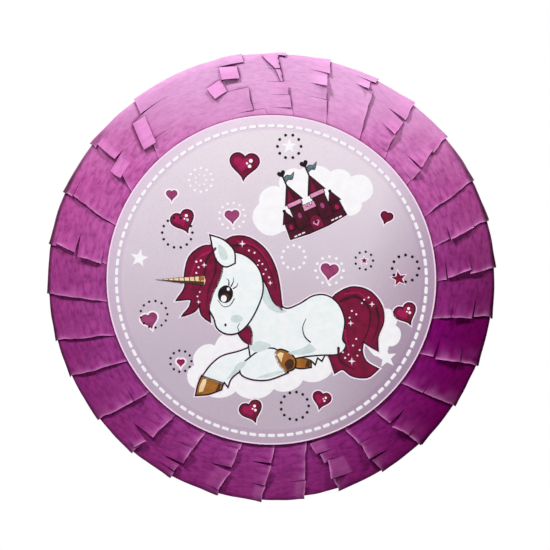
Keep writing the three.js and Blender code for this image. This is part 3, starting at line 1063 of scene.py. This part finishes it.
def spline(points, closed=True, steps=6):
    """A smooth line through points in millimetres. A point with a third value is a sharp corner."""
    count = len(points)
    line = []
    for i in range(count if closed else count - 1):
        start, end = points[i], points[(i + 1) % count]
        before = points[i - 1] if (closed or i > 0) and len(start) == 2 else start
        after = points[(i + 2) % count] if (closed or i + 2 < count) and len(end) == 2 else end
        a, b, c, d = (Vector(p[:2]) for p in (before, start, end, after))
        leave, arrive = (c - a) / 2, (d - b) / 2
        for k in range(steps):
            t = k / steps
            line.append(
                (2 * t ** 3 - 3 * t ** 2 + 1) * b + (t ** 3 - 2 * t ** 2 + t) * leave
                + (3 * t ** 2 - 2 * t ** 3) * c + (t ** 3 - t ** 2) * arrive
            )
    if not closed:
        line.append(Vector(points[-1][:2]))
    return line


def without_loops(line):
    """A closed line with the small loops that an offset makes at tight corners cut off."""
    longest_loop = 14
    i = 0
    while i < len(line):
        count = len(line)
        for gap in range(2, min(longest_loop, count - 2)):
            a, b = line[i], line[(i + 1) % count]
            c, d = line[(i + gap) % count], line[(i + gap + 1) % count]
            meet = geometry.intersect_line_line_2d(a, b, c, d)
            if meet is not None:
                keep = [line[(i + gap + 1 + k) % count] for k in range(count - gap)]
                line = [meet] + keep
                i = 0
                break
        else:
            i += 1
    return line


def signed_area(line):
    """A closed line's area, above 0 where the line runs counter-clockwise."""
    return sum(a.x * b.y - b.x * a.y for a, b in zip(line, line[1:] + line[:1])) / 2


def grown(line, distance):
    """A closed line moved outwards by a distance."""
    side = distance if signed_area(line) > 0 else -distance
    moved = []
    for before, here, after in zip(line[-1:] + line[:-1], line, line[1:] + line[:1]):
        first, second = (here - before).normalized(), (after - here).normalized()
        normal = Vector((first.y + second.y, -first.x - second.x))
        size = normal.length_squared
        normal = normal * (2 / size) if size > 1.0 else normal.normalized() * 2
        moved.append(here + normal * side)
    return without_loops(moved)


def pen_line(points, width, end_width=None):
    """The outline of a stroke along points, running from one width to another with blunt round ends."""
    middle = spline(points, closed=False, steps=5)
    end_width = width if end_width is None else end_width
    left, right = [], []
    for i, here in enumerate(middle):
        along = (middle[min(i + 1, len(middle) - 1)] - middle[max(i - 1, 0)]).normalized()
        share = i / (len(middle) - 1)
        half = (width + (end_width - width) * share) / 2
        across = Vector((-along.y, along.x)) * half
        left.append(here + across)
        right.append(here - across)
    tip = (middle[-1] - middle[-2]).normalized() * (end_width / 2)
    tail = (middle[0] - middle[1]).normalized() * (width / 2)
    return left + [middle[-1] + tip] + right[::-1] + [middle[0] + tail]


def turned(line, x, y, degrees=0.0, scale=1.0):
    """A line scaled, turned counter-clockwise and moved."""
    c, s = math.cos(math.radians(degrees)), math.sin(math.radians(degrees))
    return [Vector((x + scale * (c * p[0] - s * p[1]), y + scale * (s * p[0] + c * p[1]))) for p in line]


def oval(x, y, width, height, degrees=0.0, sides=20):
    """An ellipse, turned by an angle."""
    angles = [math.tau * i / sides for i in range(sides)]
    ring = [(math.cos(a) * width / 2, math.sin(a) * height / 2) for a in angles]
    return turned(ring, x, y, degrees)


def star_line(x, y, radius, points=5, inner=0.42, degrees=90.0):
    """A star, with the inner corners' radius as a share of the outer ones' and one spike at the angle."""
    spikes = []
    for i in range(2 * points):
        reach = radius if i % 2 == 0 else radius * inner
        angle = math.radians(degrees + 180 * i / points)
        spikes.append(Vector((x + reach * math.cos(angle), y + reach * math.sin(angle))))
    return spikes


def heart_line(x, y, width, degrees=0.0):
    """A heart by its usual formula, 32 units wide."""
    sides = 44
    ring = []
    for i in range(sides):
        t = math.tau * i / sides
        height = 13 * math.cos(t) - 5 * math.cos(2 * t) - 2 * math.cos(3 * t) - math.cos(4 * t)
        ring.append((16 * math.sin(t) ** 3, height))
    return turned(ring, x, y, degrees, width / 32)


def cloud_line(valleys):
    """A cloud from the points between its puffs: (x, y, how far the puff after it bulges, as a share)."""
    line = []
    for (x, y, bulge), (next_x, next_y, _) in zip(valleys, valleys[1:] + valleys[:1]):
        start, end = Vector((x, y)), Vector((next_x, next_y))
        chord = end - start
        outwards = Vector((-chord.y, chord.x)) * bulge
        steps = 10
        for k in range(steps):
            t = k / steps
            rounding = math.sin(math.tau * t) * abs(bulge) / 4
            line.append(start + chord * (t - rounding) + outwards * math.sin(math.pi * t))
    return line


def card_rise(x, z):
    """How far the card stands off at a place given from its middle: it's flat, but not quite parallel."""
    towards_loose = x * math.sin(CARD_LOOSE_SIDE) + z * math.cos(CARD_LOOSE_SIDE)
    return CARD_RISE + CARD_TILT * towards_loose / PICTURE_RADIUS


class Print:
    """Part of the printed picture: flat inked shapes, a hair's breadth above each other, on the card."""

    def __init__(self, name):
        self.name = name
        self.inks = []
        self.vertices, self.faces, self.face_ink = [], [], []

    def shape(self, ink, level, line):
        """A closed prism over a line, from inside the card up to the ink's level."""
        if ink not in self.inks:
            self.inks.append(ink)
        start, count, faces_before = len(self.vertices), len(line), len(self.faces)
        for height in (-INK_ROOT, INK_FIRST + level * INK_STEP):
            for p in line:
                x, z = PICTURE_X + p.x * MM, PRINT_Z + p.y * MM
                rise = card_rise(x - PICTURE_X, z - CARD_Z)
                self.vertices.append((x, -FACE_Y - rise - height, z))
        for a, b, c in geometry.tessellate_polygon([[p.to_3d() for p in line]]):
            if (line[b] - line[a]).cross(line[c] - line[a]) < 0:
                b, c = c, b
            self.faces.append((start + count + a, start + count + b, start + count + c))
            self.faces.append((start + a, start + c, start + b))
        forwards = signed_area(line) > 0
        for i in range(count):
            a, b = start + i, start + (i + 1) % count
            if not forwards:
                a, b = b, a
            self.faces.append((a, b, b + count, a + count))
        self.face_ink += [self.inks.index(ink)] * (len(self.faces) - faces_before)

    def inked(self, ink, level, line, pen=0.7, pen_ink="outline"):
        """A filled shape with a drawn outline."""
        self.shape(pen_ink, level, grown(line, pen))
        self.shape(ink, level + 1, line)

    def dot(self, ink, level, x, y, width):
        self.shape(ink, level, oval(x, y, width, width, sides=10))

    def dot_ring(self, ink, level, x, y, radius, count, width):
        for i in range(count):
            angle = math.tau * i / count
            self.dot(ink, level, x + radius * math.cos(angle), y + radius * math.sin(angle), width)

    def build(self):
        """Makes one mesh of all the shapes."""
        inks = [ink_material(name) for name in self.inks]
        art = add_object(self.name, self.vertices, self.faces, inks, face_material=self.face_ink)


def print_stitches():
    """The white stitching printed round the picture, each stitch with a soft grey edge."""
    art = Print("print_stitches")
    for i in range(STITCH_COUNT):
        angle = 360 * i / STITCH_COUNT
        place = Vector((math.sin(math.radians(angle)), math.cos(math.radians(angle)))) * STITCH_RING
        half, end = STITCH_LENGTH / 2, STITCH_WIDTH / 2
        bar = [(-half, -end * 0.5), (-half + 0.8, -end), (half - 0.8, -end), (half, -end * 0.5),
               (half, end * 0.5), (half - 0.8, end), (-half + 0.8, end), (-half, end * 0.5)]
        art.shape("stitch_shade", 0, turned(bar, place.x + 0.35, place.y - 0.35, -angle, 1.12))
        art.shape("white", 1, turned(bar, place.x, place.y, -angle))
    art.build()


# Hearts: x, y and width in millimetres, tilt in degrees, and the fill
HEARTS = [
    (-24, 104, 25, -4, "wine"), (-79, 54, 20, 22, "wine"), (-89, 77, 9, 0, "mauve"),
    (103, 57, 9.5, -18, "wine"), (120, -29, 19, 24, "wine"), (-18, -116, 19, 20, "wine"),
    (45, -106, 15, -14, "wine"), (-35, 58, 12, 4, "mauve"), (52, 9, 15, -8, "mauve"),
    (-109, -35, 14, 16, "mauve"), (-81, -73, 6, 0, "crimson"),
]

# The glints on the larger ones, as shares of the heart's width: right, up and across
HEART_GLINTS = [(0.22, 0.14, 0.14), (0.19, -0.06, 0.13), (0.09, 0.04, 0.08)]


def print_hearts():
    """The hearts, the larger ones with a lighter middle and glints."""
    art = Print("print_hearts")
    for x, y, width, tilt, ink in HEARTS:
        heart = heart_line(x, y, width, tilt)
        art.shape("halo", 0, grown(heart, 2.2))
        art.inked(ink, 1, heart, 1.2 if ink == "wine" else 0.6, "wine_dark" if width < 16 else "outline")
        if width > 14 and ink == "wine":
            art.shape("crimson", 3, heart_line(x - width * 0.08, y + width * 0.02, width * 0.62, tilt))
            for right, up, size in HEART_GLINTS:
                spot = turned([(right, up)], x, y, tilt, width)[0]
                art.dot("white", 4, spot.x, spot.y, size * width)
    art.build()


# Dotted rings: x, y, radius, how many dots, each dot's width, and the ink
DOT_RINGS = [
    (16, 120, 10.5, 10, 2.7, "outline"), (-63, 90, 10.5, 12, 2.4, "white"),
    (-84, 43, 13.5, 14, 2.4, "outline"), (-35, 58, 11.5, 13, 2.4, "white"),
    (20, 21, 10.5, 12, 2.8, "white"), (52, 9, 12.5, 12, 2.8, "white"), (83, 18, 8, 9, 2.2, "outline"),
    (120, 11, 12, 12, 2.7, "outline"), (21, -112, 12.5, 13, 2.6, "outline"),
    (-105, -30, 12, 13, 2.2, "outline"), (-81, -72, 9.5, 11, 2.3, "outline"), (-63, 90, 5, 7, 1.8, "white"),
]

# Stars: x, y, radius, turn in degrees, and the ink
STARS = [
    (16, 120, 7, 90, "white"), (-118, 20, 8.5, 80, "white"), (103, -69, 9.5, 96, "white"),
    (83, 18, 3.2, 90, "wine"), (114, 2, 7, 100, "wine"),
]


def print_stars():
    """The dotted rings and the stars."""
    art = Print("print_dots_and_stars")
    for x, y, radius, count, width, ink in DOT_RINGS:
        art.dot_ring(ink, 4, x, y, radius, count, width)
    for x, y, radius, turn, ink in STARS:
        line = star_line(x, y, radius, degrees=turn)
        if ink != "white":
            art.shape("halo", 4, grown(line, 0.8))
        art.shape(ink, 5, line)
    art.build()


def print_clouds():
    """The white clouds behind the castle and under the foal."""
    art = Print("print_clouds")
    castle_cloud = cloud_line([
        (10, 45, 0.50), (-10, 69, 0.32), (9, 82, 0.36), (26, 98, 0.20), (53, 96, 0.26),
        (71, 92, 0.62), (80, 70, 0.30), (66, 60, 0.04),
    ])
    foal_cloud = cloud_line([
        (-18, -54, -0.32), (-50, -59, -0.34), (-68, -76, -0.42), (-64, -96, -0.22), (-32, -98, -0.24),
        (2, -96, -0.22), (28, -88, -0.20), (54, -80, -0.10), (50, -46, 0.0),
    ])
    tail_cloud = cloud_line([
        (82, -42, 0.34), (98, -27, 0.40), (110, -40, 0.42), (104, -58, 0.30), (92, -66, 0.1),
    ])
    for cloud in (castle_cloud, foal_cloud, tail_cloud):
        art.shape("white", 0, grown(cloud, 0.8))
        art.shape("cloud", 1, cloud)
    art.build()


def print_castle():
    """A plain toy castle: a wall with a gate, two round towers under cone roofs and two small turrets."""
    art = Print("print_castle")

    def put(ink, level, line, pen=0.0):
        line = turned(line, CASTLE_X, CASTLE_Y, CASTLE_TILT)
        if pen:
            art.inked(ink, level, line, pen)
        else:
            art.shape(ink, level, line)

    def box(left, right, low, high):
        return [(left, low), (right, low), (right, high), (left, high)]

    def row(ink, level, count, step, left, right, low, high, pen=0.0):
        """Equal boxes side by side, from the first one's left and right."""
        for k in range(count):
            put(ink, level, box(left + step * k, right + step * k, low, high), pen)

    wall = [(-27, 1), (-9, -1), (9, -1), (27, 1), (26, 14), (14, 18), (-14, 18), (-26, 14)]
    put("halo", 2, grown([Vector(p) for p in wall], 1.6))
    put("wine_dark", 3, wall, 0.9)
    for side in (-1, 1):
        x = side * 11
        left, right = x - 5.5, x + 5.5
        put("wine_dark", 4, box(left, right, 6, 27), 0.8)
        put("pink", 7, box(left - 0.8, right + 0.8, 27, 30.4), 0.7)
        put("wine_dark", 5, [(x - 7.5, 30.6), (x + 7.5, 30.6), (x, 46)], 0.9)
        put("wine", 7, [(x - 5, 31.6), (x + 0.5, 31.6), (x - 0.2, 42)])
        put("outline", 5, box(x - 0.7, x + 0.7, 45, 56))
        put("outline", 6, heart_line(x, 57.5, 7.5))
        put("teal", 6, spline([
            (x + 0.6, 53.6, 1), (x + 4, 54.4), (x + 7, 53), (x + 10.5, 54.4, 1),
            (x + 7, 49.6), (x + 4, 50.6), (x + 0.6, 49.4, 1),
        ]), 0.5)
        row("outline", 8, 4, 2.7, left + 0.8, left + 2.2, 25.2, 26.8)
        middle = side * 22.25
        put("wine_dark", 4, box(middle - 3.75, middle + 3.75, 8, 16), 0.8)
        put("wine_dark", 5, [(middle - 4.95, 16), (middle + 4.95, 16), (middle, 25.5)], 0.9)
        put("crimson", 7, oval(side * 22.3, 10.5, 3.4, 4.6))
        put("mauve", 8, oval(x, 17, 3.4, 5.2))
        put("outline", 6, oval(middle, 26, 3, 3))
        row("halo", 7, 3, 3.7, side * 18 - 5.2, side * 18 - 2.4, 0.8, 2.0)
    put("pink", 7, box(-5.5, 5.5, 18.8, 21.6), 0.6)
    row("pink", 7, 3, 4.2, -5.4, -3.0, 21, 24, 0.5)
    arch = [(5 * math.cos(math.pi * i / 8), 7 + 5 * math.sin(math.pi * i / 8)) for i in range(1, 8)]
    put("wine", 5, [(-5, -0.6), (5, -0.6), (5, 7)] + arch + [(-5, 7)], 0.7)
    put("pink", 8, heart_line(0, 5, 6))
    put("wine_dark", 9, heart_line(0, 5.6, 3.6))
    art.build()


# The foal, in millimetres from the print's middle. A third value marks a corner.
FOAL_BODY = [
    (-34, 10), (-20, 16), (-6, 4), (2, -14), (12, -25), (24, -22), (38, -14), (50, -14), (60, -22),
    (65, -36), (63, -52), (66, -58), (60, -65), (44, -66), (26, -68), (0, -74), (-16, -72), (-20, -56),
    (-24, -36),
]
FOAL_HEAD = [
    (-36, 25), (-22, 21), (-11, 9), (-8, -8), (-13, -24), (-21, -38), (-30, -46), (-40, -47), (-48, -42),
    (-51, -33), (-56, -24), (-62, -10), (-59, 6), (-50, 20),
]
FOAL_EAR = [(-54, 40, 1), (-43, 36), (-34, 27), (-33, 16, 1), (-41, 13), (-48, 18), (-51, 26)]
FOAL_EAR_INSIDE = [(-47, 32), (-41, 28), (-39, 20), (-44, 19), (-47, 25)]
FOAL_FORELOCK = [
    (-50, 31, 1), (-62, 30), (-73, 21), (-77, 6), (-77, -6), (-84, -17, 1), (-74, -16), (-71, -17, 1),
    (-73, -24), (-79, -31, 1), (-69, -27), (-64, -20, 1), (-62, -30), (-55, -36, 1), (-56, -24), (-52, -10),
    (-47, 0), (-44, 12), (-48, 22),
]
FOAL_MANE = [
    (-44, 33, 1), (-34, 39), (-20, 38), (-6, 28), (3, 12), (7, -6), (9, -25, 1), (2, -18), (-4, -4),
    (-12, 10), (-22, 20), (-34, 25),
]
FOAL_TUFT = [(-31, -44, 1), (-22, -40), (-18, -46), (-18, -57, 1), (-25, -53)]
FOAL_TAIL = [
    (55, -18), (62, -10), (74, -6), (88, -10), (98, -22), (100, -36), (95, -50), (95, -62, 1), (88, -58),
    (82, -54, 1), (81, -64), (85, -73), (95, -79, 1), (86, -86), (73, -85), (64, -79), (57, -82, 1),
    (54, -73), (51, -62), (58, -50), (62, -36),
]
FOAL_FRONT_LEG = [
    (-14, -60), (-30, -64), (-44, -68), (-54, -76), (-62, -87, 1), (-54, -90), (-45, -94, 1), (-42, -90, 1),
    (-39, -94, 1), (-36, -87), (-27, -80), (-16, -76),
]
FOAL_FRONT_HOOF = [
    (-62, -86, 1), (-65, -93), (-67, -102, 1), (-56, -101), (-45, -97, 1), (-44, -92, 1), (-53, -89),
]
FOAL_FOLDED_LEG = [
    (4, -62), (-8, -62), (-20, -70), (-27, -77), (-26, -84), (-16, -88), (-2, -88), (14, -82, 1),
    (8, -72, 1),
]
FOAL_FOLDED_HOOF = [(4, -65, 1), (8, -62), (16, -65), (21, -71), (20, -78), (13, -81, 1), (7, -74)]
FOAL_HIND_LEG = [
    (64, -54), (58, -64), (48, -65, 1), (45, -71, 1), (41, -68, 1), (39, -74, 1), (34, -70), (20, -66),
    (26, -58), (40, -52),
]
FOAL_HIND_HOOF = [(19, -68, 1), (26, -68), (35, -71, 1), (35, -77, 1), (26, -78), (18, -76, 1)]
FOAL_SHADES = [
    [(-30, 22, 1), (-16, 12), (-6, -4), (2, -20), (14, -27), (4, -28), (-6, -20), (-14, 2), (-24, 16)],
    [(-20, -60, 1), (-12, -54), (0, -58), (-12, -64)],
    [(34, -56, 1), (28, -60), (14, -65), (28, -66), (40, -62)],
    [(-34, -80, 1), (-40, -88), (-36, -86), (-26, -78), (-22, -72), (-30, -74)],
    [(-14, -87, 1), (0, -86), (11, -81), (0, -82)],
]
# Four-pointed sparkles: x, y and radius
FOAL_SPARKLES = [
    (-26, 33, 3.25), (-60, 14, 2.5), (-65, -19, 2), (90, -21, 2.75), (71, -38, 2.75), (72, -72, 3.5),
    (-1, -2, 2.25),
]
# Light dots: x, y and width
FOAL_SPOTS = [
    (-67, 17, 2.0), (-63, 18, 2.0), (-65, 12, 1.7), (-67, 7, 1.8), (-64, -10, 1.5), (-66, -14, 1.5),
    (-20, 27, 1.8), (-15, 25, 1.8), (-11, 18, 1.7), (-8, 15, 1.7), (-12, 14, 1.5), (-5, 10, 1.6),
    (-7, 6, 1.5), (-2, 3, 1.7), (83, -17, 1.6), (87, -15, 1.6), (81, -20, 1.5), (72, -27, 1.7),
    (76, -30, 1.6), (70, -33, 1.6), (76, -52, 1.7), (73, -58, 1.7), (79, -62, 1.7), (69, -66, 1.6),
    (64, -64, 1.6), (66, -69, 1.7), (77, -67, 1.5),
]

# The foal's outlined shapes from the lowest up: the ink, the level and the shape
FOAL_LAYERS = [
    ("wine", 3, FOAL_TAIL), ("bronze", 4, FOAL_HIND_HOOF), ("coat", 5, FOAL_HIND_LEG),
    ("coat", 5, FOAL_FRONT_LEG), ("bronze", 6, FOAL_FRONT_HOOF), ("coat", 7, FOAL_BODY),
    ("wine", 8, FOAL_TUFT), ("coat", 9, FOAL_FOLDED_LEG), ("bronze", 10, FOAL_FOLDED_HOOF),
    ("wine", 11, FOAL_MANE), ("coat", 12, FOAL_HEAD), ("wine", 13, FOAL_FORELOCK), ("coat", 14, FOAL_EAR),
]
# and those that need no light band round them
FOAL_NO_HALO = (FOAL_HIND_HOOF, FOAL_HIND_LEG, FOAL_TUFT, FOAL_FOLDED_HOOF)


def print_foal():
    """A lying unicorn foal with a wine-red mane and tail."""
    art = Print("print_foal")
    for ink, level, points in FOAL_LAYERS:
        if points not in FOAL_NO_HALO:
            art.shape("halo", 2, grown(spline(points), HALO))
    for ink, level, points in FOAL_LAYERS:
        art.inked(ink, level, spline(points), HAIR_PEN if ink == "wine" else COAT_PEN)
    for points in FOAL_SHADES:
        art.shape("coat_shade", 11, spline(points))
    art.shape("coat_shade", 16, spline(FOAL_EAR_INSIDE))
    art.shape("outline", 12, pen_line([(31, -34), (28, -42), (30, -50), (35, -55)], 0.6, 1.3))
    draw_hair(art)
    draw_horn(art)
    draw_face(art)
    draw_hooves(art)
    for x, y, radius in FOAL_SPARKLES:
        art.shape("halo", 17, star_line(x, y, radius, points=4, inner=0.3))
    for x, y, width in FOAL_SPOTS:
        art.dot("halo", 17, x, y, width)
    art.build()


def draw_hair(art):
    """Darker and lighter locks in the mane, forelock and tail."""
    dark_locks = [
        [(-50, 29), (-58, 18), (-60, 4), (-66, -12)], [(-50, 20), (-50, 8), (-56, -8), (-58, -24)],
        [(-36, 31), (-18, 31), (-4, 16), (4, -8)], [(94, -24), (96, -38), (90, -54)],
        [(62, -18), (76, -14), (88, -26), (86, -46), (76, -62)], [(60, -60), (62, -72), (76, -80)],
    ]
    light_locks = [
        [(-54, 26), (-66, 20), (-71, 6), (-72, -6)], [(-30, 35), (-12, 29), (0, 10)],
        [(66, -12), (78, -11), (90, -20)], [(66, -44), (68, -58), (76, -76)],
    ]
    for points in dark_locks:
        art.shape("wine_dark", 15, pen_line(points, 2.6, 0.5))
    for points in light_locks:
        art.shape("crimson", 15, pen_line(points, 2.2, 0.5))


def draw_horn(art):
    """The horn: a slim cone with slanted rings, lit from above."""
    tip, base = Vector((-102, 1)), Vector((-60, 0))
    along = base - tip
    across = Vector((-along.y, along.x)).normalized() * HORN_WIDTH / 2
    cone = [tip, base - across, base + along * 0.03, base + across]
    art.shape("outline", 15, grown(cone, 0.6))
    art.shape("gold", 16, cone)
    art.shape("horn_dark", 17, [tip, base - across, base - across * 0.15, tip + along * 0.02])
    for i in range(1, 9):
        share = i / 9
        middle, half = tip + along * share, across * share
        high, low = middle + half, middle - half
        art.shape("horn_dark", 18, [high, high + along * 0.02, low + along * 0.055, low + along * 0.035])
    band = base - along * 0.12
    art.shape("bronze", 18, [band + across * 0.9, band, base + across * 0.05, base + across * 0.9])


def draw_face(art):
    """A simple drawn face: one round dark eye with a glint, two lashes, a nostril and a small smile."""
    art.shape("outline", 15, oval(-41, -12, 13.5, 16, -14, sides=28))
    art.shape("horn_dark", 16, oval(-41, -15, 8, 7, -14, sides=20))
    art.shape("white", 17, oval(-42.5, -16, 5.2, 6.2, 0, sides=16))
    art.shape("white", 17, oval(-38.5, -7.5, 2.6, 3.0, 0, sides=12))
    art.shape("outline", 15, pen_line([(-48, -17), (-43, -23), (-37, -22), (-33, -16)], 0.5, 0.9))
    lashes = [
        [(-36, -5), (-34, -1), (-34, 3)], [(-38, -4), (-38, 0), (-40, 2)], [(-34, -7), (-31, -5), (-30, -2)],
    ]
    for lash in lashes:
        art.shape("outline", 15, pen_line(lash, 1.3, 0.3))
    art.shape("coat_shade", 15, oval(-31, -34, 11, 7, 0))
    art.shape("outline", 16, oval(-41, -39.5, 2.2, 2.8, 0, sides=12))
    art.shape("outline", 16, pen_line([(-29, -45), (-30, -41), (-28, -38)], 0.9, 0.4))


def draw_hooves(art):
    """Light and dark facets on the three hooves."""
    facets = [
        ("gold", 8, [(-61, -88, 1), (-58, -89), (-61, -99, 1), (-65, -100, 1), (-64, -94)]),
        ("horn_dark", 8, [(-47, -92, 1), (-45, -92, 1), (-46, -97, 1), (-50, -99, 1)]),
        ("gold", 12, [(5, -66, 1), (8, -64), (11, -65, 1), (9, -73, 1)]),
        ("horn_dark", 12, [(14, -80, 1), (12, -74), (16, -70), (20, -72), (19, -78)]),
        ("horn_dark", 6, [(32, -71, 1), (35, -72, 1), (34, -77, 1), (30, -77, 1)]),
    ]
    for ink, level, points in facets:
        art.shape(ink, level, spline(points))


def picture_disc(material):
    """The printed card disc, a flat round plate with a finely rounded cut edge."""
    around = CARD_SIDES
    thickness = PICTURE_HIGH.y + FACE_Y
    soft = thickness * 0.3
    radius = PICTURE_RADIUS - CARD_TRIM
    # (how far from the middle, how far behind the face) round the card's section
    section = [(radius - soft, 0.0), (radius, soft), (radius, thickness - soft), (radius - soft, thickness)]
    vertices, faces = [], []
    for reach, depth in section:
        for k in range(around):
            angle = math.tau * k / around
            x, z = reach * math.sin(angle), reach * math.cos(angle)
            vertices.append((PICTURE_X + x, -FACE_Y - card_rise(x, z) + depth, CARD_Z + z))
    for ring in range(len(section) - 1):
        for k in range(around):
            n = (k + 1) % around
            first, second = ring * around, (ring + 1) * around
            faces.append((first + k, second + k, second + n, first + n))
    for start, depth in ((0, 0.0), ((len(section) - 1) * around, thickness)):
        middle = len(vertices)
        vertices.append((PICTURE_X, -FACE_Y - card_rise(0, 0) + depth, CARD_Z))
        for k in range(around):
            fan = (middle, start + k, start + (k + 1) % around)
            faces.append(fan if start == 0 else fan[::-1])
    disc = add_object("picture_card_disc", vertices, faces, [material], smooth_angle=30)
    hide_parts("picture_disc")


# ---------------------------------------------------------------- fill flap

def flap_bottom(x):
    """The height of the flap's lower edge, with its rounded corners."""
    past = max(0.0, abs(x) - (FLAP_HIGH.x - FLAP_CORNER))
    return FLAP_LOW.z + FLAP_CORNER - math.sqrt(max(0.0, FLAP_CORNER ** 2 - past ** 2))


def flap_sheet(name, thickness, depth_at, material):
    """One of the flap's papers, from its crease at the top to its rounded lower edge."""
    columns = round((FLAP_HIGH.x - FLAP_LOW.x) / FLUTE_STEP)
    heights = [FLAP_HIGH.z - CREASE_WIDTH * k / CREASE_STEPS for k in range(CREASE_STEPS + 1)]
    vertices, faces = [], []
    for i in range(columns + 1):
        x = FLAP_LOW.x + (FLAP_HIGH.x - FLAP_LOW.x) * i / columns
        for z in heights + [flap_bottom(x)]:
            crease = math.sin(math.pi * min(1.0, (FLAP_HIGH.z - z) / CREASE_WIDTH)) ** 2
            vertices.append((x, depth_at(x, crease), z))
    rows = len(heights) + 1
    for i in range(columns):
        for k in range(rows - 1):
            a = i * rows + k
            faces.append((a, a + 1, a + rows + 1, a + rows))
    sheet = add_object(name, vertices, faces, [material], body=FLAP)
    thicken(sheet, thickness)
    smooth(sheet.data, 40)
    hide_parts("fill_flap")


def fill_flap():
    """The fill flap: two liners, the outer one creased, and the fluted paper between them."""
    middle = (FLAP_LOW.y + FLAP_HIGH.y) / 2
    swing = (FLAP_HIGH.y - FLAP_LOW.y) / 2 - LINER - FLUTE_PAPER / 2

    def outer(x, crease):
        return FLAP_HIGH.y - LINER / 2 - CREASE_DEPTH * crease

    def inner(x, crease):
        return FLAP_LOW.y + LINER / 2

    def flute(x, crease):
        wave = math.sin(math.tau * x / FLUTE_PITCH) * (swing - CREASE_DEPTH / 2 * crease)
        return middle + wave - CREASE_DEPTH / 2 * crease

    liner = card_material("flap_liner", None, None)
    flap_sheet("flap_outer_liner", LINER, outer, liner)
    flap_sheet("flap_inner_liner", LINER, inner, liner)
    flap_sheet("flap_flutes", FLUTE_PAPER, flute, liner)


# ---------------------------------------------------------------- stage

def lit_or_white(tree, lit):
    """Shows plain white to the camera, and the given shader to every other ray."""
    white = tree.nodes.new("ShaderNodeEmission")
    choice = tree.nodes.new("ShaderNodeMixShader")
    path = tree.nodes.new("ShaderNodeLightPath")
    tree.links.new(path.outputs["Is Camera Ray"], choice.inputs[0])
    tree.links.new(lit, choice.inputs[1])
    tree.links.new(white.outputs[0], choice.inputs[2])
    return choice.outputs[0]


def add_floor():
    """A wide pale floor, well below the hanging drum."""
    shader = Shader("studio_floor", roughness=0.9, specular=0.1)
    shader.surface.inputs["Base Color"].default_value = FLOOR_COLOUR
    output = shader.tree.nodes["Material Output"]
    shader.link(lit_or_white(shader.tree, shader.surface.outputs[0]), output.inputs["Surface"])
    z = CAD_LOW.z - FLOOR_DROP
    signs = ((-1, -1), (1, -1), (1, 1), (-1, 1))
    corners = [(x * FLOOR_REACH, y * FLOOR_REACH, z) for x, y in signs]
    floor = new_object("floor", new_mesh("floor", corners, [(0, 1, 2, 3)], [shader.material]))


def add_light(name, place, size, power):
    """A square soft light aimed at the drum's middle."""
    data = bpy.data.lights.new(name, "AREA")
    data.size = size
    data.energy = power
    light = new_object(name, data)
    light.location = Vector((CENTRE_X, 0, CENTRE_Z)) + Vector(place)
    light.rotation_euler = (-Vector(place)).to_track_quat("-Z", "Y").to_euler()


def add_surroundings():
    """Soft light from everywhere, with a white backdrop where the camera looks past the drum."""
    world = bpy.data.worlds.new("studio")
    bpy.context.scene.world = world
    world.use_nodes = True
    tree = world.node_tree
    ambient = tree.nodes["Background"]
    ambient.inputs["Color"].default_value = AMBIENT_COLOUR
    ambient.inputs["Strength"].default_value = AMBIENT
    tree.links.new(lit_or_white(tree, ambient.outputs[0]), tree.nodes["World Output"].inputs["Surface"])


def add_camera():
    """The camera, a little above the drum and aimed close to the picture's middle."""
    data = bpy.data.cameras.new("camera")
    data.sensor_width = 36
    data.lens = data.sensor_width * CAMERA_DISTANCE / VIEW_WIDTH
    camera = new_object("camera", data)
    aim = Vector((CENTRE_X + AIM_RIGHT, -FACE_Y, CENTRE_Z + AIM_UP))
    tilt = math.radians(CAMERA_ELEVATION)
    back = Vector((0, -math.cos(tilt), math.sin(tilt)))
    camera.location = aim + back * CAMERA_DISTANCE
    camera.rotation_euler = (-back).to_track_quat("-Z", "Y").to_euler()
    bpy.context.scene.camera = camera
    bpy.context.scene.view_settings.view_transform = "Standard"


def cad_material(node):
    """The material of a CAD piece that no looks replace."""
    if "tape" in node:
        return tape_material()
    if node == "back_cover":
        return cover_material()
    if node.endswith("_panel"):
        low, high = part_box(node)
        return card_material("card_" + node, low.y, high.y)
    return card_material("card_" + node, None, None)


build_strips(crepe_material())
for node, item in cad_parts.items():
    if not node.startswith("crepe_") and node not in ("picture_disc", "fill_flap"):
        item.data.materials.clear()
        item.data.materials.append(cad_material(node))
fill_flap()
picture_disc(picture_material())
for draw in (print_stitches, print_clouds, print_hearts, print_stars, print_castle, print_foal):
    draw()

add_floor()
add_surroundings()
for light in LIGHTS:
    add_light(*light)
add_camera()

bpy.context.view_layer.update()
